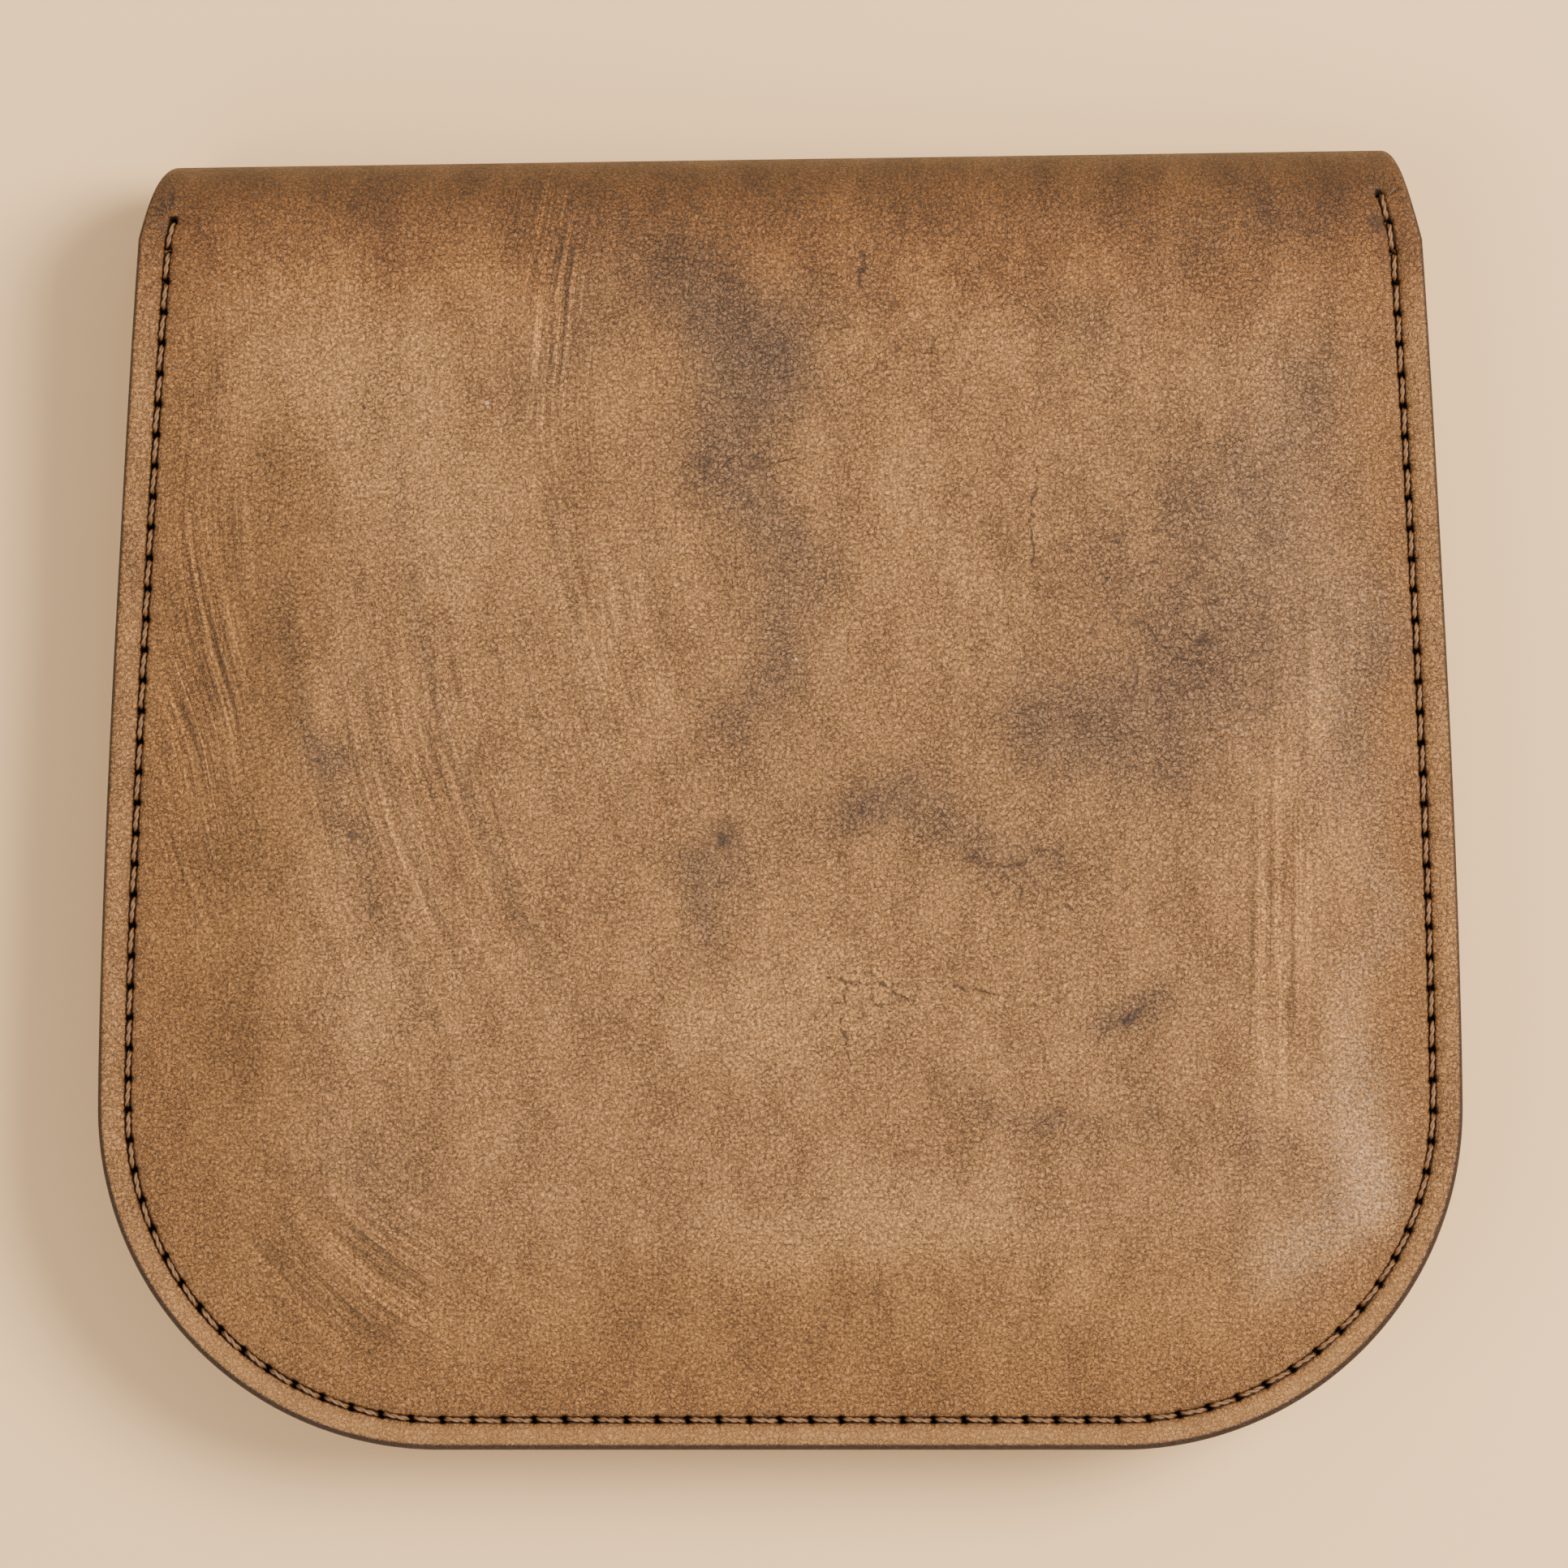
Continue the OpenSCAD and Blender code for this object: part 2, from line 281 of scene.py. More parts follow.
STREAK_CENTRE = (70.0, 33.0)    # the hide is streaked along wide circles round this point
CORNER_CENTRE = (-5.0, -5.0)    # and round this one in the bottom left corner
STREAKS_MEET = (-32.0, -30.0)   # where the two sets of circles run into each other
STREAK_STEP = math.dist(STREAKS_MEET, STREAK_CENTRE) - math.dist(STREAKS_MEET, CORNER_CENTRE)

# Where the streaks show: x, y, radius along each axis and strength
STREAKS = [(-19, 40, 3.2, 15, 1.2), (-47, 11, 3.5, 19, 1.4), (-30, 0, 9, 14, 0.8), (-13, 12, 5, 11, 0.7),
           (-33, -39, 9, 6, 1.1), (-6, 40, 3, 9, 0.3)]
UPRIGHT_STREAKS = [(41, -8, 3, 14, 1.1), (29, 38, 5, 8, 0.3), (46, 10, 3, 15, 0.4)]


def streak_relief(x, y):
    """Fine ridges where the hide stretched."""
    wide = np.hypot(x - STREAK_CENTRE[0], y - STREAK_CENTRE[1])
    tight = np.hypot(x - CORNER_CENTRE[0], y - CORNER_CENTRE[1]) + STREAK_STEP
    radius = mix(wide, tight, smooth((-26 - y) / 8) * smooth((-8 - x) / 12))
    ridges = 0.5 * np.sin(radius * 2 * math.pi / 0.93 + 0.7 * np.sin(y / 4.1))
    ridges += 0.35 * np.sin(radius * 2 * math.pi / 0.67 + 1.3 * np.sin(y / 5.7 + 1))
    return 0.045 * ridges * blobs(x, y, STREAKS)


def back_face(x, y):
    """Height of the back's outer face, without the seam and the rounded edge."""
    t = slope(body, x, y)
    fall = 1 - smooth((y - DOME_FALL_FROM) / (FOLD_Y - DOME_FALL_FROM))
    level = seam_height(y) + LEATHER
    crown = 0.5 * np.clip(1 - (x / 52) ** 2, 0, 1) * t
    return level + (BACK_DOME + crown + blobs(x, y, HAND_WAVES)) * t * fall + streak_relief(x, y) * t


def leather_at(y):
    """Thickness of the outer leather, which is pared towards the fold."""
    return mix(LEATHER, FOLD_LEATHER, smooth((y - FOLD_Y + 9) / 9))


def back_outer(x, y, inset):
    z = back_face(x, y) - seam_relief(x, y) - edge_round(inset)
    return np.stack([x, y, z], -1)


def back_inner(x, y, inset):
    t = slope(body, x, y)
    fall = 1 - smooth((y - DOME_FALL_FROM) / (FOLD_Y - DOME_FALL_FROM))
    z = seam_height(y) + LEATHER - leather_at(y) + BACK_DOME * t * fall + edge_round(inset, 0.25)
    return np.stack([x, y, z], -1)


MOUTH_Y = FOLD_Y + INNER_R * math.sin(MOUTH_TURN)


def mouth_edge(u):
    return MOUTH_Y - MOUTH_DIP * np.clip(1 - u * u, 0, 1) ** 1.5


MOUTH_FROM = 0.0                # y from which the front's rows are drawn down towards the mouth


def front_place(x, y):
    """Moves a point so that the straight top becomes the curved mouth, and gives its distance from it."""
    u = x / body.half_width(y)
    share = np.clip((y - MOUTH_FROM) / (MOUTH_Y - MOUTH_FROM), 0, 1) ** 1.3
    new_y = y - share * (MOUTH_Y - mouth_edge(u))
    return u * body.half_width(new_y), new_y, MOUTH_Y - y


def front_face(x, y):
    rim = seam_height(y) - PANEL_GAP
    lip = 0.32 * smooth((y - 20) / 20) * slope(body, x, y)
    return mix(rim, SEAM_Z - PANEL_GAP - FRONT_DOME, slope(body, x, y)) - lip


def front_outer(x, y, inset):
    fx, fy, lip = front_place(x, y)
    crease = 0.10 * np.exp(-((lip - 2.0) / 0.22) ** 2) * (body.edge_distance(fx, fy) > FLANGE)
    z = front_face(fx, fy) - LEATHER + seam_relief(fx, fy) + crease
    z = z + edge_round(np.minimum(inset, lip))
    return np.stack([fx, fy, z], -1)


def front_inner(x, y, inset):
    fx, fy, lip = front_place(x, y)
    z = front_face(fx, fy) - edge_round(np.minimum(inset, lip), 0.35)
    return np.stack([fx, fy, z], -1)


def flap_level(y):
    return CAP_HEIGHT * smooth((FOLD_Y - y) / (FOLD_Y - FLAP_LIFT_Y))


def flap_outer(x, y, inset):
    away = np.hypot(x, y - SNAP_Y)
    crease = 0.12 * np.exp(-((inset - 2.0) / 0.22) ** 2) * smooth((FOLD_Y - 2 - y) / 3)
    ripple = 0.10 * (1 + np.sin(x / 9.0) * np.cos(y / 11.0))
    ripple = ripple * smooth((FOLD_Y - y) / 12) * smooth((away - 7) / 6)
    z = flap_level(y) + crease + ripple + edge_round(inset)
    return np.stack([x, y, z], -1)


def flap_inner(x, y, inset):
    thickness = mix(FOLD_LEATHER, LEATHER, smooth((FOLD_Y - y) / 9))
    z = flap_level(y) + thickness - edge_round(inset, 0.35)
    return np.stack([x, y, z], -1)


# ---- Flat meshes ----

RING_INSETS = np.array([0, 0.05, 0.13, 0.25, 0.4, 0.6, 0.9, 1.25, 1.6, 1.85, 2.02, 2.15, 2.26, 2.36,
                        2.45, 2.54, 2.64, 2.75, 2.88, 3.05, 3.35, 3.75, 4.3, 5.0])
HOLE_OFFSETS = np.array([0, 0.09, 0.18, 0.27, 0.38, 0.55, 0.8]) / 2.507
HOLE_OFFSETS = np.concatenate([-HOLE_OFFSETS[:0:-1], HOLE_OFFSETS, [0.5]])


def seam_columns(outline, top_y):
    """Column runs for a panel with a seam: close together at each hole, and up to a straight top."""
    gap = hole_runs[1] - hole_runs[0]
    runs = (hole_runs[:, None] + HOLE_OFFSETS[None, :] * gap).ravel()
    end = outline.run_to(top_y)
    below = end - np.array([0, 0.05, 0.13, 0.25, 0.4, 0.6, 0.9])
    runs = np.concatenate([runs[np.abs(runs) < below[-1] - 0.1], below, -below])
    return np.sort(runs)


def plain_columns(outline, top_y, step):
    end = outline.run_to(top_y)
    return np.linspace(-end, end, int(2 * end / step) | 1)


class Flat:
    """A flat mesh inside an outline: rings of quads along the edge and triangles in the middle."""

    def __init__(self, outline, runs, insets, top_y, step):
        cols, rings = len(runs), len(insets)
        x, y = outline.point(runs[:, None], insets[None, :])
        y[0, :] = top_y
        y[-1, :] = top_y
        edge_xy = np.stack([x.ravel(), y.ravel()], -1)
        at = np.arange(cols * rings).reshape(cols, rings)
        quads = np.stack([at[:-1, :-1], at[1:, :-1], at[1:, 1:], at[:-1, 1:]], -1).reshape(-1, 4)
        inner_x, inner_y = x[:, -1], y[:, -1]
        top_count = int((inner_x[-1] - inner_x[0]) / step)
        top_x = np.linspace(inner_x[-1], inner_x[0], top_count + 1)[1:-1]
        loop = np.concatenate([np.stack([inner_x, inner_y], -1),
                               np.stack([top_x, np.full(len(top_x), top_y)], -1)])
        fill = self.fill_points(outline, insets[-1], top_y, step)
        coords = [Vector(p) for p in np.concatenate([loop, fill])]
        verts, _, faces, origins, _, _ = delaunay_2d_cdt(coords, [], [list(range(len(loop)))], 1, 1e-5)
        index = np.empty(len(verts), int)
        extra = []
        for i, (v, origin) in enumerate(zip(verts, origins)):
            first = min(origin) if origin else len(coords)
            if first < cols:
                index[i] = at[first, rings - 1]
            else:
                index[i] = cols * rings + len(extra)
                extra.append((v.x, v.y))
        triangles = index[np.array(faces)]
        self.xy = np.concatenate([edge_xy, np.array(extra)])
        a, b, c = (self.xy[triangles[:, k]] for k in range(3))
        area = (b[:, 0] - a[:, 0]) * (c[:, 1] - a[:, 1]) - (b[:, 1] - a[:, 1]) * (c[:, 0] - a[:, 0])
        triangles[area < 0] = triangles[area < 0][:, ::-1]
        self.faces = [tuple(q) for q in quads.tolist()] + [tuple(t) for t in triangles.tolist()]
        self.inset = np.concatenate([np.broadcast_to(insets, (cols, rings)).ravel(),
                                     outline.edge_distance(*np.array(extra).T)])
        self.rim = at[:, 0]
        top_row = np.nonzero(np.abs(self.xy[:, 1] - top_y) < 1e-6)[0]
        self.top = top_row[np.argsort(self.xy[top_row, 0])]

    @staticmethod
    def fill_points(outline, inset, top_y, step):
        """A staggered grid of points inside the innermost ring, with close rows under the top."""
        rows = np.arange(outline.bottom_y + inset + step * 0.5, top_y - 1.0, step * 0.87)
        rows = np.concatenate([rows, top_y - np.array([0.05, 0.13, 0.25, 0.4, 0.6, 0.9])])
        points = []
        for k, y in enumerate(rows):
            x = np.arange(-HALF_WIDTH, HALF_WIDTH, step) + (k % 2) * step / 2
            x = x[outline.edge_distance(x, np.full(len(x), y)) > inset + step * 0.45]
            points.append(np.stack([x, np.full(len(x), y)], -1))
        return np.concatenate(points)


# ---- Meshes ----

def new_mesh(name, points, faces, materials, attributes, indices=None):
    """An object from points in mm; attributes maps a name to one number or three for each point."""
    mesh = bpy.data.meshes.new(name)
    mesh.from_pydata((np.asarray(points) * MM).tolist(), [], faces)
    for material in materials:
        mesh.materials.append(material)
    if indices is not None:
        mesh.polygons.foreach_set("material_index", np.asarray(indices, np.int32))
    mesh.polygons.foreach_set("use_smooth", np.ones(len(mesh.polygons), bool))
    for key, values in attributes.items():
        values = np.asarray(values, np.float32)
        kind = "FLOAT_VECTOR" if values.ndim == 2 else "FLOAT"
        layer = mesh.attributes.new(key, kind, "POINT")
        layer.data.foreach_set("vector" if values.ndim == 2 else "value", values.ravel())
    mesh.update()
    obj = bpy.data.objects.new(name, mesh)
    bpy.context.scene.collection.objects.link(obj)
    return obj


# Stains and light places on the back: x, y, radius along each axis and strength
STAINS = [(-6, 41, 7.5, 5.5, 1.0), (-2, 35.5, 5, 5.5, 0.9), (-17.5, 41, 3.5, 5, 0.5),
          (-4, 27, 5.5, 4.5, 0.55), (0, 20, 4.5, 9, 0.7), (-2, 10, 4.5, 5.5, 0.5),
          (-19.5, 33.5, 3.5, 4, 0.45), (0, 2, 7, 6, 0.25), (36, 15, 17, 26, 0.22), (31, 19, 11, 12, 0.4),
          (40, 21, 7, 9, 0.4), (31, 5.5, 11, 7, 0.5), (22, 8, 6, 5, 0.35), (9, -1.5, 6, 3.2, 0.8),
          (18, -5, 7, 3.5, 0.6), (-5.5, -4.5, 3.2, 3.2, 0.6), (-7.5, -9, 2.2, 4, 0.7),
          (-34.5, 3.5, 3.2, 2.2, 0.6), (-34.5, -3, 1.8, 1.5, 0.5), (29.5, -17, 4, 2.2, 0.75),
          (24, 41, 4, 3, 0.5), (33, 45, 6, 4, 0.4), (20, -25.5, 7, 2, 0.6), (30, -24, 4, 3, 0.35),
          (-35, -30, 7, 4.5, 0.4), (39, -31, 4.5, 5, 0.6), (43, 33, 5, 6, 0.45), (6.5, 43, 1.2, 3, 0.5),
          (-12, 45, 6, 3, 0.3), (48, 10, 3, 16, 0.35), (44, 46, 9, 4, 0.3)]
# The pale places at (47, -29) and (44, -37), low on the right, are painted sheen; the others are paler
# leather.
PALE_AND_SHEEN_PLACES = [(-37, 37, 10, 9, 1.2), (-26, 25, 7, 8, 1.0), (-1.5, -17, 8, 6, 0.9), (9, -17, 9, 4, 0.7),
               (3, -35, 15, 4.5, 1.0), (-32, -15, 12, 7, 0.7), (13, 23, 4, 13, 0.6), (-13, 15, 6, 8, 0.5),
               (47, -29, 2.6, 7, 1.2), (44, -37, 3, 4, 0.5), (45, 4, 4, 11, 0.4), (-24, -40, 8, 4, 0.4),
               (24, -38, 9, 4, 0.5), (13, 40, 5, 6, 0.4)]
# Painted sheen: where the light glances off the slope low on the right, shown as pale speckles on the grain.
SHEEN_PLACES = [(47.5, -25, 2.4, 7, 0.7), (45.5, -32, 3, 5, 1.0), (42, -38, 3.5, 3.5, 0.7), (48, -10, 2, 10, 0.4),
          (45, 10, 4, 11, 0.3)]
CRACKED = [(8, -16.5, 9, 3, 0.8), (19, -6, 9, 4, 0.9), (33, 10, 10, 8, 0.8), (-4, 27, 6, 3, 0.9),
           (-30, 31, 10, 3, 0.6), (10, 37, 14, 8, 0.6), (29, 24, 9, 9, 0.6), (29, -17, 5, 4, 0.5)]


def vein(x, y, start_x, sweep, width, ends):
    """A soft dark line in the hide that starts straight down and sweeps to the right."""
    down = np.clip((28 - y) / 46, 0, 2)
    away = x - start_x - sweep * down ** 1.8
    return np.exp(-(away / width) ** 2) * smooth((y - ends[0]) / 10) * smooth((ends[1] - y) / 10)


def hide_marks(x, y):
    """How stained, pale, streaked, cracked and streaked upright the hide is, and how strong the painted
    sheen is, from 0 to about 1.
    """
    wx = x + 1.4 * np.sin(y / 3.7 + 0.5) + 0.8 * np.sin(y / 1.9 + x / 5)
    wy = y + 1.6 * np.sin(x / 4.3 + 2.0) + 0.8 * np.sin(x / 2.3 - y / 4)
    stained = blobs(wx, wy, STAINS)
    stained += 0.50 * vein(x, y, -31, 14, 1.0, (-22, 34)) + 0.42 * vein(x, y, -18.5, 15, 0.9, (-8, 30))
    stained += 0.38 * vein(x, y, -42, 13, 1.4, (-24, 26)) + 0.30 * vein(x, y, -36.5, 13, 0.8, (-20, 20))
    others = [blobs(wx, wy, PALE_AND_SHEEN_PLACES), blobs(x, y, STREAKS), blobs(wx, wy, CRACKED)]
    return stained, *others, blobs(x, y, UPRIGHT_STREAKS), blobs(wx, wy, SHEEN_PLACES)


def leather_attributes(hide, x, y, inset, seam, marked_at):
    """What the leather's material reads: the place on the hide, the edge, the seam and the marks."""
    nowhere = np.full(x.shape, FAR)
    across = np.abs(body.edge_distance(x, y) - STITCH_MARGIN) if seam else nowhere
    across = across + FAR * smooth((past_seam(x, y) - 0.35) / 0.5)
    hole = hole_shape(x, y) if seam else nowhere
    stained, pale, streaked, cracked, upright, painted_sheen = hide_marks(*marked_at)
    on_back = np.abs(hide[:, 1]) < FLAP_HIDE_Y - FOLD_Y
    return {
        "hide": hide,
        "edge": inset,
        "seam": np.stack([across, hole, np.zeros(len(x))], -1),
        "marks": np.stack([stained, pale, streaked * on_back], -1),
        "lines": np.stack([cracked, upright * on_back, painted_sheen * on_back], -1),
    }


def blank_marks(attributes):
    """The same attributes for the other side of the leather, which has no seam groove and no marks."""
    clear = {key: np.zeros_like(attributes[key]) for key in ("marks", "lines")}
    return dict(attributes, seam=np.full_like(attributes["seam"], FAR), **clear)


def join_attributes(first, second):
    return {key: np.concatenate([first[key], second[key]]) for key in first}


def cut_walls(points, attributes, rows, count):
    """Adds a wall across each cut row, with points of its own so that its corners stay sharp."""
    extra, faces = [], []
    for row, flip in rows:
        for a, b in zip(row[:-1], row[1:]):
            base = len(points) + len(extra)
            extra += [a, a + count, b + count, b]
            quad = (base, base + 1, base + 2, base + 3)
            faces.append(quad[::-1] if flip else quad)
    points = np.concatenate([points, points[extra]])
    attributes = {key: np.concatenate([values, values[extra]]) for key, values in attributes.items()}
    return points, attributes, faces


def panel(name, flat, outer, inner, seam, marked_at, outward, hide_y, holes=()):
    """A leather panel: an outer face, an inner face and burnished walls round the edge and on top."""
    x, y = flat.xy.T
    outer_points = outer(x, y, flat.inset)
    inner_points = inner(x, y, flat.inset)
    count = len(x)
    ox, oy = outer_points[:, 0], outer_points[:, 1]
    hide = np.stack([ox, hide_y(oy), np.zeros(count)], -1)
    attributes = leather_attributes(hide, ox, oy, flat.inset, seam, marked_at(ox, oy))
    inner_attributes = blank_marks(attributes)
    faces = [f for f in flat.faces
             if all(np.hypot(*(flat.xy[f[0]] - centre)) > radius for centre, radius in holes)]
    flip = outward < 0
    outer_faces = [f[::-1] if flip else f for f in faces]
    inner_faces = [tuple(i + count for i in (f if flip else f[::-1])) for f in faces]
    rim = flat.rim
    wall = [(a, a + count, b + count, b) if not flip else (b, b + count, a + count, a)
            for a, b in zip(rim[:-1].tolist(), rim[1:].tolist())]
    points = np.concatenate([outer_points, inner_points])
    attributes = join_attributes(attributes, inner_attributes)
    points, attributes, top_wall = cut_walls(points, attributes, [(flat.top.tolist(), not flip)], count)
    walls = wall + top_wall
    indices = [0] * len(outer_faces) + [1] * len(inner_faces) + [2] * len(walls)
    return new_mesh(name, points, outer_faces + inner_faces + walls, LEATHER_SET, attributes, indices)


# ---- Materials ----

class Tree:
    """A material's nodes, added one at a time with their inputs."""

    def __init__(self, name):
        self.material = bpy.data.materials.new(name)
        self.material.use_nodes = True
        self.tree = self.material.node_tree
        self.shader = self.tree.nodes["Principled BSDF"]

    def add(self, kind, inputs=None, **settings):
        node = self.tree.nodes.new("ShaderNode" + kind)
        for key, value in settings.items():
            setattr(node, key, value)
        for key, value in (inputs or {}).items():
            self.feed(node.inputs[key], value)
        return node

    def feed(self, socket, value):
        if isinstance(value, bpy.types.NodeSocket):
            self.tree.links.new(value, socket)
        else:
            socket.default_value = value

    def math(self, operation, a, b=0.0, c=0.0):
        return self.add("Math", {0: a, 1: b, 2: c}, operation=operation).outputs[0]

    def times(self, a, b, added=0.0):
        """a times b, plus what is added."""
        return self.math("MULTIPLY_ADD", a, b, added) if added != 0.0 else self.math("MULTIPLY", a, b)

    def vector(self, operation, a, b=(0, 0, 0), out=0):
        return self.add("VectorMath", {0: a, 1: b}, operation=operation).outputs[out]

    def fade(self, value, start, end, low=0.0, high=1.0):
        """low where value is at start, high where it is at end, smooth between."""
        inputs = {"Value": value, "From Min": start, "From Max": end, "To Min": low, "To Max": high}
        return self.add("MapRange", inputs, interpolation_type="SMOOTHSTEP").outputs[0]

    def mix(self, factor, a, b):
        node = self.add("Mix", data_type="RGBA", clamp_factor=True)
        for index, value in ((0, factor), (6, a), (7, b)):
            self.feed(node.inputs[index], value)
        return node.outputs[2]

    def noise(self, coords, scale, detail=2.0, roughness=0.5, distortion=0.0):
        inputs = {"Vector": coords, "Scale": scale, "Detail": detail, "Roughness": roughness,
                  "Distortion": distortion}
        return self.add("TexNoise", inputs).outputs["Fac"]

    def cell_edge(self, coords, scale):
        """Distance from the edge of the nearest cell."""
        inputs = {"Vector": coords, "Scale": scale}
        return self.add("TexVoronoi", inputs, feature="DISTANCE_TO_EDGE").outputs["Distance"]

    def attribute(self, name, kind="Fac"):
        return self.add("Attribute", attribute_name=name).outputs[kind]

    def parts(self, vector):
        return self.add("SeparateXYZ", {0: vector}).outputs

    def scale(self, vector, factor):
        return self.add("VectorMath", {0: vector, "Scale": factor}, operation="SCALE").outputs[0]

    def finish(self, color, roughness, height, **sockets):
        """Sets colour, roughness and a bump whose height is in millimetres."""
        bump = self.add("Bump", {"Strength": 1.0, "Distance": MM, "Height": height})
        self.feed(self.shader.inputs["Base Color"], color)
        self.feed(self.shader.inputs["Roughness"], roughness)
        self.feed(self.shader.inputs["Normal"], bump.outputs[0])
        for key, value in sockets.items():
            self.shader.inputs[key.replace("_", " ")].default_value = value
        return self.material


TAN = (0.200, 0.096, 0.033, 1)
TAN_DARK = (0.098, 0.043, 0.013, 1)
TAN_LIGHT = (0.335, 0.175, 0.065, 1)
OCHRE = (0.160, 0.067, 0.014, 1)
GREY_BROWN = (0.085, 0.050, 0.033, 1)
BURNISH_AND_SHADE_DARK = (0.020, 0.008, 0.005, 1)
SPOT_DARK = (0.030, 0.016, 0.011, 1)
HOLE_SHADE_AND_DIRT = (0.006, 0.003, 0.002, 1)
# Pale colour of the painted sheen, also used for the light flecks.
SHEEN_AND_FLECK = (0.420, 0.300, 0.210, 1)
FOLD_SHADE_TINT = (0.74, 0.63, 0.47, 1)    # painted shade: the leather is tinted browner and darker where it turns over the fold, whatever its colour

# Dark spots and light flecks on the back: x, y, radius and strength; the spots at (49.3, 47.5) and (-50.3,
# 47) are painted shade where the first stitch puckers the fold
DARK_SPOTS = [(-4.7, -3.3, 0.65, 0.85), (-4.2, -2.9, 1.5, 0.4), (-34.8, -3, 0.4, 0.7), (28.4, -18, 0.6, 0.8),
              (-9.7, -16.4, 0.22, 0.8), (-42.5, -37.8, 0.18, 0.9), (6.6, 43.4, 0.3, 0.6),
              (-34, 28.9, 0.12, 0.9), (-34, 32, 0.12, 0.8), (36, -28.8, 0.12, 0.9), (49.3, 47.5, 0.9, 0.7),
              (-50.3, 47, 0.5, 0.6)]
LIGHT_SPOTS = [(-24, 32.4, 0.16, 1.0), (1.3, 11.3, 0.13, 0.9), (11, 4.7, 0.08, 0.9), (24.5, 14, 0.09, 0.9)]

# Single cracks as runs of straight pieces; the last six, at the top corners, are painted shade in the pucker
# creases round the first stitch holes
CRACK_AND_PUCKER_SHADE_LINES = [[(3.7, -14.6), (5.6, -14.9), (8.4, -15.3), (10.8, -16.5)],
               [(5.3, -15), (5.0, -18), (5.5, -21.5)], [(-3.2, 28.2), (-1, 27.4), (2, 27.9)],
               [(-5, 26.6), (-3.6, 28.4)], [(14, -15.2), (17.5, -16)], [(21, 27), (20.4, 22.5), (20.7, 19)],
               [(6.8, 45), (6.5, 42)], [(28, -18), (30.5, -16.6)], [(15, -4.6), (18, -5.6), (20, -5.2)],
               [(30, 14), (32, 11.4), (35, 11)], [(-50.4, 48.4), (-51.0, 49.8)],
               [(-50.5, 48.3), (-52.0, 49.0)], [(-50.2, 48.5), (-50.0, 50.1)],
               [(-50.6, 48.1), (-52.2, 48.0)], [(50.0, 50.2), (50.4, 51.6)], [(50.2, 50.0), (51.6, 50.6)]]


def spots(tree, coords, places):
    total = 0.0
    for x, y, radius, strength in places:
        away = tree.vector("DISTANCE", coords, (x, y, 0), 1)
        total = tree.math("MAXIMUM", tree.fade(away, radius * 0.5, radius * 1.6, strength, 0.0), total)
    return total


def line_distance(tree, coords, lines):
    """Distance from the nearest of the straight pieces of every line."""
    nearest = 99.0
    for line in lines:
        for a, b in zip(line[:-1], line[1:]):
            run = (b[0] - a[0], b[1] - a[1], 0)
            offset = tree.vector("SUBTRACT", coords, (a[0], a[1], 0))
            along = tree.vector("DOT_PRODUCT", offset, run, 1)
            share = tree.math("DIVIDE", along, run[0] ** 2 + run[1] ** 2)
            share.node.use_clamp = True
            away = tree.vector("DISTANCE", offset, tree.scale(run, share), 1)
            nearest = tree.math("MINIMUM", away, nearest)
    return nearest


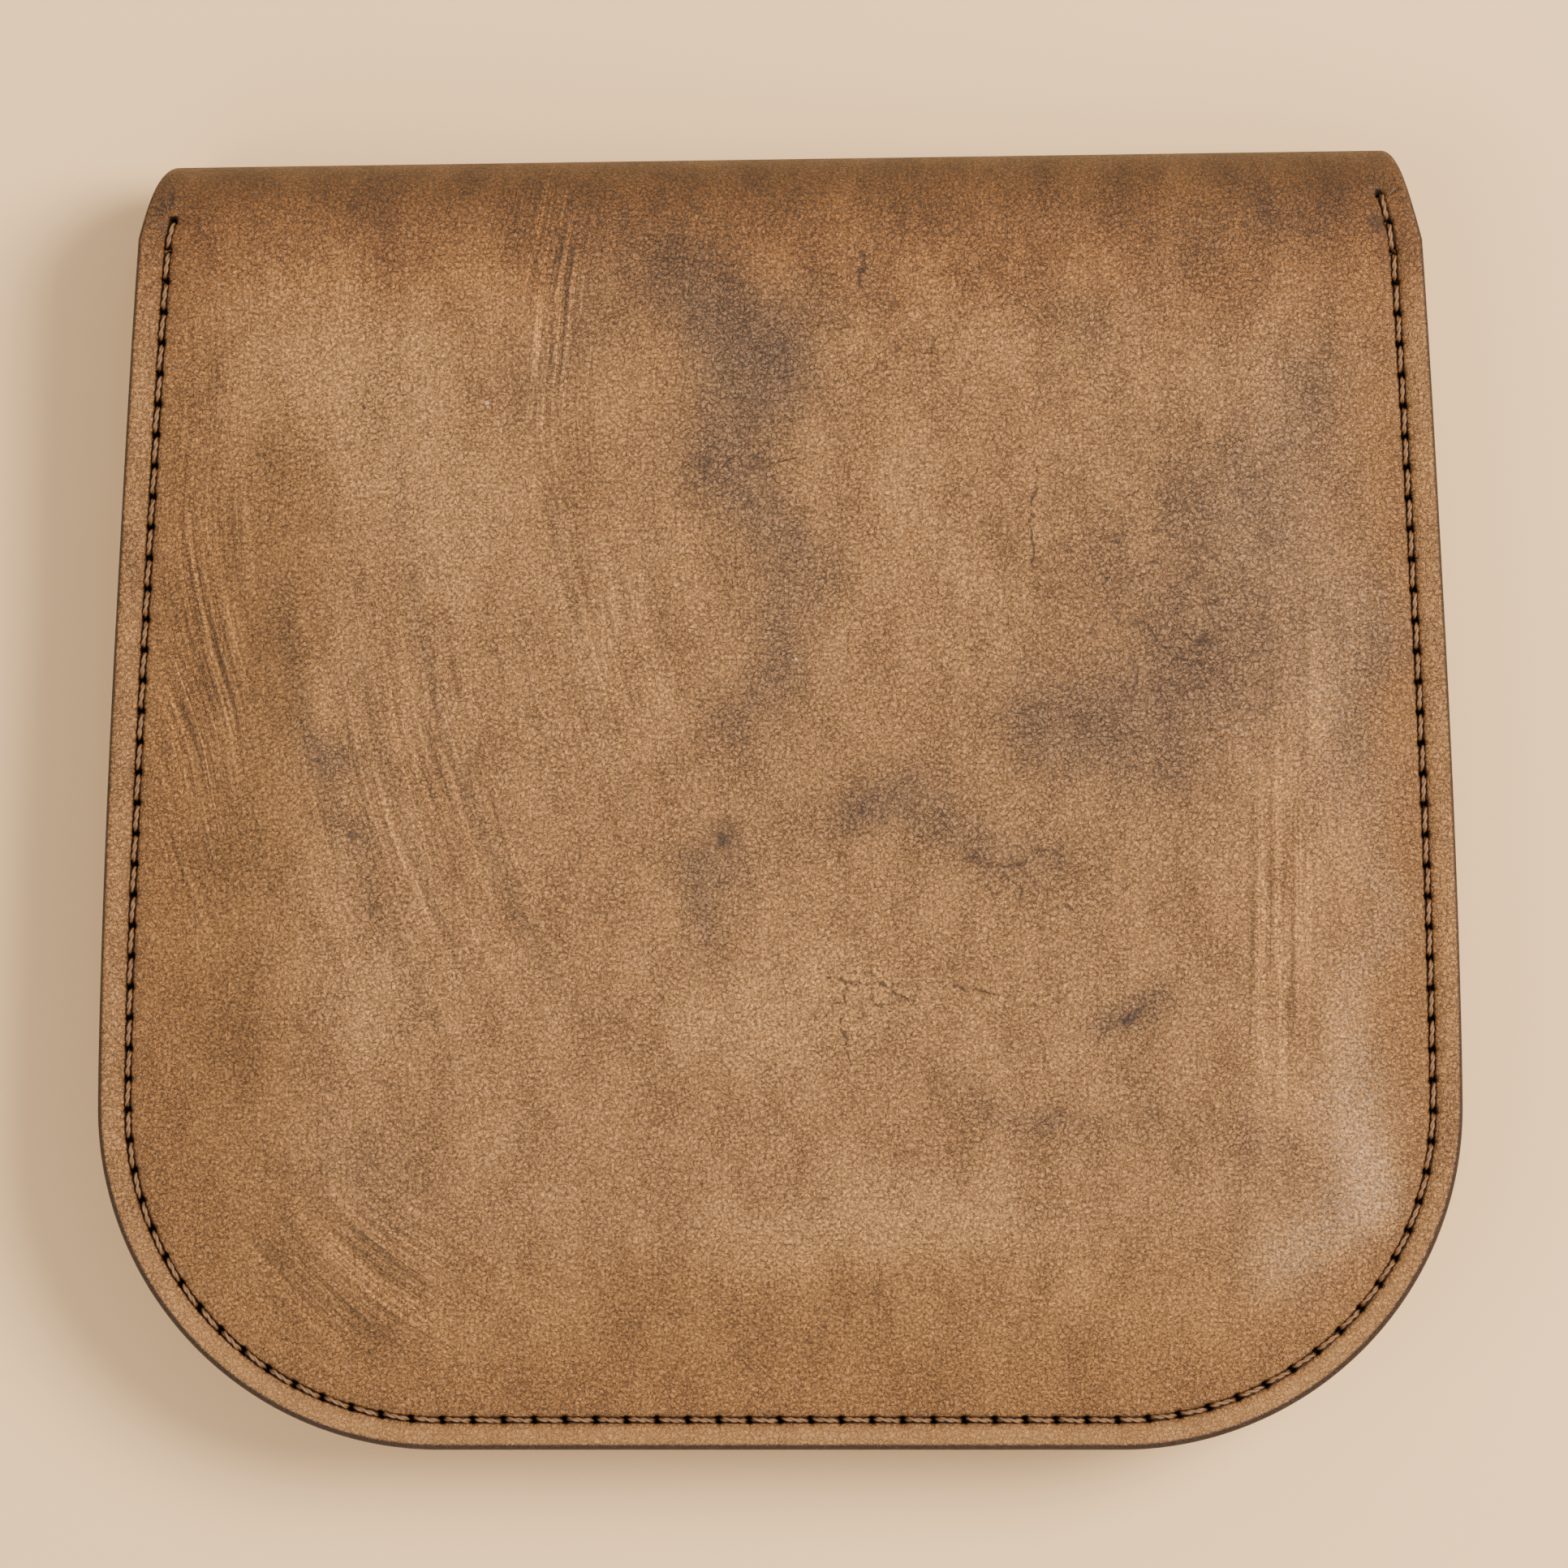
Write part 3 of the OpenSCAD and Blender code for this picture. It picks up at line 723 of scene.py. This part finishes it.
def leather_material(name):
    """The grain side: pebbled, mottled and worn, burnt dark at the edge, with painted shade inside the seam,
    along the seam groove, in the stitch holes, over the fold and at the bottom edge, and a painted sheen low
    on the right.
    """
    tree = Tree(name)
    hide = tree.attribute("hide", "Vector")
    place = tree.parts(hide)
    marks = tree.parts(tree.attribute("marks", "Vector"))
    seam = tree.parts(tree.attribute("seam", "Vector"))
    lines = tree.parts(tree.attribute("lines", "Vector"))
    edge = tree.attribute("edge")
    stained, pale, streaked = marks[0], marks[1], marks[2]

    wander = tree.add("TexNoise", {"Vector": hide, "Scale": 0.9, "Detail": 3.0}).outputs["Color"]
    offset = tree.scale(tree.vector("SUBTRACT", wander, (0.5, 0.5, 0.5)), 1.1)
    warped = tree.vector("ADD", hide, offset)

    broad = tree.noise(hide, 0.06, 3.0, 0.55)
    patchy = tree.noise(tree.vector("MULTIPLY", warped, (1.0, 0.5, 1.0)), 0.26, 5.0, 0.6)
    speckle = tree.noise(hide, 1.3, 4.0, 0.7)
    fine = tree.noise(hide, 3.7, 3.0, 0.7)
    pebble_edge = tree.cell_edge(warped, 2.1)
    small_edge = tree.cell_edge(tree.vector("ADD", warped, (3.1, 7.7, 0)), 3.6)

    slow = tree.noise(hide, 0.05, 1.0)
    wide = tree.vector("DISTANCE", hide, (*STREAK_CENTRE, 0), 1)
    tight = tree.math("ADD", tree.vector("DISTANCE", hide, (*CORNER_CENTRE, 0), 1), STREAK_STEP)
    in_corner = tree.times(tree.fade(place[1], -26, -34), tree.fade(place[0], -8, -20))
    radius = tree.times(in_corner, tree.math("SUBTRACT", tight, wide), wide)
    radius = tree.times(slow, 3.0, radius)
    along = tree.times(place[1], 0.02)
    curved_place = tree.add("CombineXYZ", {0: radius, 1: along}).outputs[0]
    curved_lines = tree.noise(curved_place, 1.9, 4.0, 0.7)
    upright_place = tree.add("CombineXYZ", {0: tree.times(place[0], 1.2), 1: along}).outputs[0]
    upright_lines = tree.noise(upright_place, 1.2, 4.0, 0.65)
    curved_amount = tree.times(tree.math("SUBTRACT", curved_lines, 0.5), tree.times(streaked, 1.4, 0.20))
    upright_amount = tree.times(tree.math("SUBTRACT", upright_lines, 0.5), tree.times(lines[1], 1.4, 0.12))
    streaks = tree.math("ADD", curved_amount, upright_amount)

    ragged = tree.math("SUBTRACT", tree.times(speckle, 0.7, patchy), 0.85)
    stain = tree.fade(tree.times(ragged, 0.5, stained), 0.0, 1.2)
    lightness = tree.fade(tree.times(ragged, -0.9, pale), 0.15, 1.0)

    crack_place = tree.vector("MULTIPLY", warped, (1.0, 1.35, 1.0))
    crack_edge = tree.cell_edge(crack_place, 0.55)
    cracked = tree.times(tree.fade(crack_edge, 0.02, 0.09, 1.0, 0.0), tree.math("ADD", lines[0], 0.12))
    cracked = tree.times(cracked, tree.fade(tree.noise(hide, 0.5, 3.0, 0.6), 0.46, 0.64))
    single = tree.fade(line_distance(tree, warped, CRACK_AND_PUCKER_SHADE_LINES), 0.05, 0.20, 1.0, 0.0)
    single = tree.times(single, tree.fade(speckle, 0.33, 0.48, 0.3, 1.0))
    crack = tree.math("MAXIMUM", cracked, single)

    pebble_line = tree.fade(tree.times(fine, 0.16, pebble_edge), 0.08, 0.22, 1.0, 0.0)
    small_line = tree.fade(tree.times(fine, 0.16, small_edge), 0.07, 0.20, 1.0, 0.0)
    grain_amount = tree.times(stain, 0.25, tree.fade(patchy, 0.35, 0.65, 0.5, 0.75))

    color = tree.mix(tree.fade(broad, 0.35, 0.65, 0.15, 0.35), TAN, TAN_LIGHT)
    color = tree.mix(tree.fade(patchy, 0.45, 0.75, 0.0, 0.35), color, TAN_DARK)
    color = tree.mix(tree.fade(patchy, 0.5, 0.3, 0.0, 0.25), color, TAN_LIGHT)
    # Painted shade: a darker, more orange band on the slope just inside the seam.
    seam_slope_shade = tree.times(tree.fade(edge, 2.6, 3.6), tree.fade(edge, 12.0, 3.5))
    color = tree.mix(tree.times(seam_slope_shade, 0.55), color, OCHRE)
    color = tree.mix(tree.times(lightness, 0.55), color, TAN_LIGHT)
    color = tree.mix(tree.times(stain, 0.78), color, GREY_BROWN)
    light_grain = tree.fade(fine, 0.50, 0.66, 1.0, 1.9)
    tone = tree.math("SUBTRACT", light_grain, tree.fade(fine, 0.50, 0.34, 0.0, 0.5))
    tone = tree.times(tone, tree.fade(speckle, 0.5, 0.7, 1.06, 0.80))
    for line, strength in ((small_line, -0.5), (pebble_line, -0.65)):
        depth = tree.times(line, grain_amount)
        tone = tree.times(tone, tree.times(depth, strength, 1.0))
    light_streaks = tree.fade(streaks, 0.0, -0.22, 1.0, 1.8)
    streak_tone = tree.math("SUBTRACT", light_streaks, tree.fade(streaks, 0.0, 0.22, 0.0, 0.55))
    color = tree.scale(color, tree.times(tone, streak_tone))
    # Painted sheen: pale speckles on the grain low on the right.
    painted_sheen = tree.times(lines[2], tree.fade(fine, 0.44, 0.62, 0.12, 0.75))
    painted_sheen = tree.times(painted_sheen, tree.fade(speckle, 0.35, 0.65, 0.4, 1.0))
    color = tree.mix(painted_sheen, color, SHEEN_AND_FLECK)
    color = tree.mix(tree.times(crack, 0.8), color, SPOT_DARK)
    color = tree.mix(spots(tree, warped, DARK_SPOTS), color, SPOT_DARK)
    color = tree.mix(spots(tree, hide, LIGHT_SPOTS), color, SHEEN_AND_FLECK)
    # Painted shade over the fold: a browner tint and a darkening that grow towards the top edge and round
    # the turn, and fade out before the flap.
    toward_fold = tree.times(ragged, 6.0, place[1])
    before_flap = tree.fade(place[1], FOLD_Y + 24, FOLD_Y + 13)
    fold_shade_share = tree.times(tree.fade(toward_fold, FOLD_Y - 11, FOLD_Y + 1), before_flap)
    color = tree.vector("MULTIPLY", color, tree.mix(fold_shade_share, (1, 1, 1, 1), FOLD_SHADE_TINT))
    shade = tree.fade(toward_fold, FOLD_Y - 4, FOLD_Y + 8, 0.0, 0.56)
    shade = tree.math("ADD", shade, tree.fade(place[1], FOLD_Y + 8, FOLD_Y + 11, 0.0, 0.2))
    shade = tree.times(shade, before_flap)
    color = tree.scale(color, tree.math("SUBTRACT", 1.0, shade))
    bottom_rim = tree.times(tree.fade(edge, 2.4, 1.6), tree.fade(place[1], -30, -48, 0.0, 0.35))
    color = tree.mix(tree.times(bottom_rim, tree.fade(place[1], -60, -54)), color, TAN_LIGHT)
    # Dark burnished band along the edge; its widening towards the bottom is painted shade on the edge's
    # shaded side.
    rubbed = tree.times(fine, 0.16, edge)
    rubbed = tree.math("ADD", rubbed, tree.fade(place[1], -10, -48, 0.0, -0.22))
    color = tree.mix(tree.fade(rubbed, 0.1, 1.4, 0.2, 0.0), color, TAN_DARK)
    color = tree.mix(tree.fade(rubbed, 0.20, 0.44, 1.0, 0.0), color, BURNISH_AND_SHADE_DARK)
    # Painted shade in the stitch groove: its walls are darkened along the seam.
    groove = tree.times(fine, 0.14, seam[0])
    color = tree.mix(tree.fade(groove, 0.3, 1.5, 0.35, 0.0), color, TAN_DARK)
    color = tree.mix(tree.fade(groove, 0.30, 0.46, 0.92, 0.0), color, BURNISH_AND_SHADE_DARK)
    # Painted shade in the stitch holes: near black.
    hole = tree.times(fine, 0.5, seam[1])
    color = tree.mix(tree.fade(hole, 0.95, 1.4, 0.95, 0.0), color, HOLE_SHADE_AND_DIRT)

    grain = tree.times(pebble_line, -0.040)
    grain = tree.times(small_line, -0.030, grain)
    grain = tree.times(fine, 0.10, grain)
    grain = tree.times(speckle, 0.07, grain)
    grain = tree.times(streaks, 0.22, grain)
    grain = tree.times(crack, -0.07, grain)
    rough = tree.fade(tree.math("ADD", speckle, patchy), 0.6, 1.4, 0.46, 0.64)
    return tree.finish(color, rough, grain, Specular_IOR_Level=0.42)


def flesh_material(name):
    """The suede side, paler, fibrous and rubbed smoother where coins slide."""
    tree = Tree(name)
    hide = tree.attribute("hide", "Vector")
    edge = tree.attribute("edge")
    stretched = tree.vector("MULTIPLY", hide, (1.0, 0.55, 1.0))
    fibres = tree.noise(stretched, 2.6, 5.0, 0.7, 0.6)
    patchy = tree.noise(hide, 0.16, 4.0, 0.6)
    color = tree.mix(tree.fade(fibres, 0.3, 0.7), (0.17, 0.095, 0.048, 1), (0.30, 0.185, 0.10, 1))
    color = tree.mix(tree.times(tree.fade(patchy, 0.4, 0.7), 0.5), color, (0.14, 0.07, 0.034, 1))
    color = tree.mix(tree.fade(edge, 0.15, 0.5, 1.0, 0.0), color, BURNISH_AND_SHADE_DARK)
    rough = tree.fade(patchy, 0.3, 0.7, 0.82, 0.95)
    height = tree.times(fibres, 0.11)
    return tree.finish(color, rough, height, Specular_IOR_Level=0.2, Sheen_Weight=0.25, Sheen_Roughness=0.6)


def edge_material(name):
    """The cut edge, waxed and rubbed until it is dark and smooth."""
    tree = Tree(name)
    hide = tree.attribute("hide", "Vector")
    streaky = tree.noise(tree.vector("MULTIPLY", hide, (1.0, 1.0, 6.0)), 1.2, 4.0, 0.6)
    color = tree.mix(tree.fade(streaky, 0.35, 0.7), BURNISH_AND_SHADE_DARK, (0.060, 0.022, 0.011, 1))
    height = tree.times(streaky, 0.05)
    return tree.finish(color, tree.fade(streaky, 0.3, 0.7, 0.32, 0.5), height, Specular_IOR_Level=0.5)


def thread_material(name):
    """Waxed linen thread: fine fibres along the plies, painted shade on the low side of the plies where they
    meet, and painted shade with dirt near the holes.
    """
    tree = Tree(name)
    ply = tree.attribute("ply", "Vector")
    parts = tree.parts(ply)
    fibres = tree.noise(tree.vector("MULTIPLY", ply, (0.8, 7.0, 1.0)), 2.2, 4.0, 0.65)
    color = tree.mix(tree.fade(fibres, 0.3, 0.7), (0.070, 0.030, 0.013, 1), (0.23, 0.118, 0.048, 1))
    # Painted shade on the low side of each ply.
    color = tree.mix(tree.fade(parts[2], 0.14, -0.04, 0.0, 0.85), color, (0.030, 0.012, 0.007, 1))
    # Darker towards each hole: partly painted shade, partly dirt.
    reach = tree.times(fibres, 0.12, tree.attribute("reach"))
    color = tree.mix(tree.fade(reach, 0.30, 0.52, 1.0, 0.0), color, HOLE_SHADE_AND_DIRT)
    height = tree.times(fibres, 0.035)
    return tree.finish(color, tree.fade(fibres, 0.3, 0.7, 0.42, 0.6), height, Specular_IOR_Level=0.5)


def metal_material(name, color, tarnish, roughness):
    """Turned sheet metal with fine scratches and tarnish."""
    tree = Tree(name)
    place = tree.scale(tree.add("TexCoord").outputs["Object"], 1 / MM)
    patchy = tree.noise(place, 0.5, 4.0, 0.6)
    scratches = tree.noise(tree.vector("MULTIPLY", place, (9.0, 0.7, 1.0)), 1.0, 3.0, 0.7)
    tint = tree.mix(tree.fade(patchy, 0.42, 0.72, 0.0, 0.8), color, tarnish)
    rough = tree.fade(tree.math("ADD", patchy, scratches), 0.7, 1.3, roughness, roughness + 0.22)
    height = tree.times(scratches, 0.006, tree.times(patchy, 0.02))
    return tree.finish(tint, rough, height, Metallic=1.0)


def floor_material(name):
    tree = Tree(name)
    place = tree.add("TexCoord").outputs["Object"]
    soft = tree.noise(place, 9.0, 3.0, 0.5)
    color = tree.mix(tree.fade(soft, 0.3, 0.7), (0.735, 0.520, 0.305, 1), (0.755, 0.535, 0.315, 1))
    return tree.finish(color, 0.6, tree.times(soft, 0.02), Specular_IOR_Level=0.3)


grain_side = leather_material("grain_side")
flesh_side = flesh_material("flesh_side")
burnished_edge = edge_material("burnished_edge")
thread_finish = thread_material("waxed_thread")
LEATHER_SET = [grain_side, flesh_side, burnished_edge]


# ---- The leather pieces ----

def stand_for(node):
    """Hides the CAD node that a piece replaces."""
    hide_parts(node)


back_flat = Flat(body, seam_columns(body, FOLD_Y), RING_INSETS, FOLD_Y, 0.62)
back = panel("back_leather", back_flat, back_outer, back_inner, True,
             lambda x, y: (x, y), 1, lambda y: y)
stand_for("back_panel")
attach(back, "purse")

front_flat = Flat(body, seam_columns(body, MOUTH_Y), RING_INSETS, MOUTH_Y, 0.75)
front = panel("front_leather", front_flat, front_outer, front_inner, True,
              lambda x, y: (4 - x, -y), -1, lambda y: y - FRONT_HIDE_Y, [((0, SNAP_Y), FRONT_HOLE_R)])
stand_for("front_panel")
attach(front, "purse")

FLAP_INSETS = np.array([0, 0.05, 0.13, 0.25, 0.4, 0.6, 0.9, 1.25, 1.6, 1.75, 1.88, 2.0, 2.12, 2.25, 2.5,
                        3.2, 4.2])
flap_flat = Flat(flap_outline, plain_columns(flap_outline, FOLD_Y, 0.5), FLAP_INSETS, FOLD_Y, 0.7)
flap = panel("flap_leather", flap_flat, flap_outer, flap_inner, False,
             lambda x, y: (-x, 34 - y * 0.8), -1, lambda y: FLAP_HIDE_Y - y, [((0, SNAP_Y), FLAP_HOLE_R)])
stand_for("flap")
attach(flap, "flap")


def fold_points(u, angle, r):
    """Points round the fold at shares of the half width, and their distance from the edge."""
    half = body_side(FOLD_Y) - WAIST * np.minimum(1, angle / (math.pi / 2))
    x = u * half
    r = r + fold_lean(x, angle)
    return x, FOLD_Y + r * np.sin(angle), FOLD_Z + r * np.cos(angle), half - np.abs(x)


def fold_piece(name, u, angles):
    """Part of the turn from back to flap, between two angles, as a sheet with thickness."""
    rows, cols = len(angles), len(u)
    angle, share = [g.ravel() for g in np.meshgrid(angles, u, indexing="ij")]
    x, y, _, inset = fold_points(share, angle, FOLD_R)
    hide_y = FOLD_Y + FOLD_R * angle
    on_seam = angle < math.radians(44)
    relief = np.where(on_seam, seam_relief(x, y), 0)
    ridges = streak_relief(x, hide_y) * slope(body, x, np.full(len(x), FOLD_Y)) * (angle < 1.2)
    r_out = FOLD_R - relief - edge_round(inset) + ridges
    r_in = FOLD_R - FOLD_LEATHER + edge_round(inset, 0.25)
    outer = np.stack(fold_points(share, angle, r_out)[:3], -1)
    inner = np.stack(fold_points(share, angle, r_in)[:3], -1)
    count = rows * cols
    hide = np.stack([x, hide_y, np.zeros(count)], -1)
    out_attributes = leather_attributes(hide, x, y, inset, True, (x, hide_y))
    in_attributes = blank_marks(out_attributes)
    at = np.arange(count).reshape(rows, cols)
    quads = np.stack([at[:-1, :-1], at[:-1, 1:], at[1:, 1:], at[1:, :-1]], -1).reshape(-1, 4)[:, ::-1]
    outer_faces = [tuple(q) for q in quads[:, ::-1].tolist()]
    inner_faces = [tuple(q) for q in (quads + count).tolist()]
    left = at[:, 0].tolist()
    right = at[:, -1].tolist()
    wall = [(a, b, b + count, a + count) for a, b in zip(left[:-1], left[1:])]
    wall += [(b, a, a + count, b + count) for a, b in zip(right[:-1], right[1:])]
    points = np.concatenate([outer, inner])
    attributes = join_attributes(out_attributes, in_attributes)
    cut_rows = [(at[0].tolist(), True), (at[-1].tolist(), False)]
    points, attributes, ends = cut_walls(points, attributes, cut_rows, count)
    walls = wall + ends
    indices = [0] * len(outer_faces) + [1] * len(inner_faces) + [2] * len(walls)
    return new_mesh(name, points, outer_faces + inner_faces + walls, LEATHER_SET, attributes, indices)


back_u = back_flat.xy[back_flat.top, 0] / float(body_side(FOLD_Y))
flap_u = flap_flat.xy[flap_flat.top, 0] / FLAP_HALF
fine_rows = np.radians(np.arange(0, 38, 1.0))
upper_rows = np.concatenate([fine_rows, np.radians(np.linspace(38, 90, 22))])
lower_rows = np.radians(np.linspace(90, 180, 37))
fold_upper = fold_piece("fold_upper_leather", back_u, upper_rows)
fold_lower = fold_piece("fold_lower_leather", flap_u, lower_rows)
for piece in (fold_upper, fold_lower):
    stand_for("top_fold")


def match_normals(*pieces):
    """Gives points that two pieces share one normal, so that no line shows where they meet."""
    places, normals = [], []
    for obj in pieces:
        mesh = obj.data
        co = np.empty(len(mesh.vertices) * 3)
        mesh.vertices.foreach_get("co", co)
        normal = np.empty(len(mesh.vertices) * 3)
        mesh.vertices.foreach_get("normal", normal)
        places.append(np.round(co.reshape(-1, 3) / MM, 3))
        normals.append(normal.reshape(-1, 3))
    for k, obj in enumerate(pieces):
        table = {}
        for other in range(len(pieces)):
            if other != k:
                table.update({tuple(p): n for p, n in zip(places[other].tolist(), normals[other])})
        custom = np.zeros((len(places[k]), 3))
        for i, p in enumerate(places[k].tolist()):
            n = table.get(tuple(p))
            if n is not None and np.dot(n, normals[k][i]) > 0.5:
                both = n + normals[k][i]
                custom[i] = both / np.linalg.norm(both)
        obj.data.normals_split_custom_set_from_vertices(custom.tolist())


match_normals(back, fold_upper, fold_lower, flap)
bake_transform(fold_upper)
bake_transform(fold_lower)


# ---- The thread ----

def thread_row(name, side):
    """Every stitch on one face: two plies that twist along the groove and dive into a hole at each end."""
    steps, sides, turns = 17, 7, 1.6
    ply_r, apart = 0.125, 0.085
    a = np.stack([hole_x[:-1], hole_y[:-1]], -1)
    b = np.stack([hole_x[1:], hole_y[1:]], -1)
    t = np.linspace(0, 1, steps)
    line = (b - a) / np.linalg.norm(b - a, axis=1)[:, None]
    across = np.stack([-line[:, 1], line[:, 0]], -1)
    slant = 0.10 * (0.5 - t) * 2 * side
    jitter = rng.uniform(-0.03, 0.03, (len(a), 1))
    xy = a[:, None] + (b - a)[:, None] * t[None, :, None]
    xy = xy + across[:, None] * (slant[None, :] + jitter)[..., None]
    x, y = xy[..., 0], xy[..., 1]
    if side > 0:
        turn = np.arcsin(np.clip((y - FOLD_Y) / FOLD_R, 0, 1))
        face = np.where(y > FOLD_Y, arc_height(y, FOLD_R) + fold_lean(x, turn), back_face(x, y)) - 0.46
    else:
        face = front_face(x, y) - LEATHER + 0.46
    rise = mix(-0.85, 0.17, smooth(np.minimum(t, 1 - t) / 0.24)) + 0.06 * np.sin(math.pi * t)
    centre = np.stack([x, y, face + side * rise[None, :]], -1)
    tangent = np.gradient(centre, axis=1)
    tangent /= np.linalg.norm(tangent, axis=-1, keepdims=True)
    up = np.array([0, 0, float(side)])
    out = np.cross(up, tangent)
    out /= np.linalg.norm(out, axis=-1, keepdims=True)
    normal = np.cross(tangent, out)
    phase = rng.uniform(0, 1, (len(a), 1))
    points, plies, reaches, faces = [], [], [], []
    count = 0
    for k in range(2):
        turn = 2 * math.pi * (turns * t[None, :] + phase + k / 2)
        swing = np.cos(turn)[..., None] * out + 0.75 * np.sin(turn)[..., None] * normal
        middle_line = centre + apart * swing
        around = np.linspace(0, 2 * math.pi, sides, endpoint=False)
        ring = np.cos(around)[:, None] * out[:, :, None, :]
        ring = ring + np.sin(around)[:, None] * normal[:, :, None, :]
        tube = middle_line[:, :, None, :] + ply_r * ring
        height = ((tube - centre[:, :, None, :]) * normal[:, :, None, :]).sum(-1)
        length = (t * PITCH)[None, :, None] + np.arange(len(a))[:, None, None] * 3.7
        length = np.broadcast_to(length, height.shape)
        angle = np.broadcast_to(around[None, None, :] / (2 * math.pi), height.shape)
        points.append(tube.reshape(-1, 3))
        reach = np.minimum(t, 1 - t) * PITCH
        reaches.append(np.broadcast_to(reach[None, :, None], height.shape).ravel())
        plies.append(np.stack([length, angle, height], -1).reshape(-1, 3))
        for s in range(len(a)):
            first = count + s * steps * sides
            grid = first + np.arange(steps * sides).reshape(steps, sides)
            after = np.roll(grid, -1, axis=1)
            quads = np.stack([grid[:-1], after[:-1], after[1:], grid[1:]], -1).reshape(-1, 4)
            faces += [tuple(q) for q in quads.tolist()]
            faces.append(tuple(grid[0][::-1].tolist()))
            faces.append(tuple(grid[-1].tolist()))
        count += len(a) * steps * sides
    attributes = {"ply": np.concatenate(plies), "reach": np.concatenate(reaches)}
    return new_mesh(name, np.concatenate(points), faces, [thread_finish], attributes)


for thread_name, thread_side, stitches in (("back_thread", 1, "back_stitches"),
                                           ("front_thread", -1, "front_stitches")):
    thread = thread_row(thread_name, thread_side)
    stand_for(stitches)
    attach(thread, "purse")


# ---- The press stud keeps its CAD shapes ----

brass = metal_material("worn_brass", (0.72, 0.50, 0.22, 1), (0.34, 0.21, 0.09, 1), 0.22)
steel = metal_material("spring_wire", (0.62, 0.61, 0.60, 1), (0.40, 0.38, 0.36, 1), 0.25)
for node_name in ("snap_cap", "snap_socket", "snap_stud", "snap_post", "socket_ring_spring"):
    for material_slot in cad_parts[node_name].material_slots:
        material_slot.material = steel if node_name == "socket_ring_spring" else brass


# ---- Floor, light and camera ----

def floor():
    size = 3.0
    corners = [(-size, -size, 0), (size, -size, 0), (size, size, 0), (-size, size, 0)]
    mesh = bpy.data.meshes.new("floor")
    mesh.from_pydata(corners, [], [(0, 1, 2, 3)])
    mesh.materials.append(floor_material("pale_floor"))
    obj = bpy.data.objects.new("floor", mesh)
    bpy.context.scene.collection.objects.link(obj)


def area_light(name, place, size, watts, color):
    data = bpy.data.lights.new(name, "AREA")
    data.shape = "DISK"
    data.size = size
    data.energy = watts
    data.color = color
    obj = bpy.data.objects.new(name, data)
    obj.location = place
    obj.rotation_euler = (Vector((0, 0, 0)) - Vector(place)).to_track_quat("-Z", "Y").to_euler()
    bpy.context.scene.collection.objects.link(obj)


def camera():
    data = bpy.data.cameras.new("camera")
    obj = bpy.data.objects.new("camera", data)
    target = Vector((0.3, 1.3, 14)) * MM
    distance = 0.80
    shown_width = 128.5 * MM    # what the picture's width shows at the target
    tilt = math.radians(1.8)
    obj.location = target + distance * Vector((0, -math.sin(tilt), math.cos(tilt)))
    obj.rotation_euler = (tilt, 0, 0)
    data.sensor_width = 36
    data.lens = data.sensor_width * distance / shown_width
    data.clip_start = 0.01
    bpy.context.scene.collection.objects.link(obj)
    bpy.context.scene.camera = obj


floor()
area_light("key", (0.50, 0.16, 0.62), 0.42, 14.5, (1.0, 0.87, 0.70))
area_light("fill", (-0.5, -0.35, 0.7), 0.8, 5.0, (1.0, 0.90, 0.76))
world = bpy.data.worlds.new("studio")
world.use_nodes = True
world.node_tree.nodes["Background"].inputs["Color"].default_value = (1.0, 0.89, 0.74, 1)
world.node_tree.nodes["Background"].inputs["Strength"].default_value = 0.8
bpy.context.scene.world = world
camera()
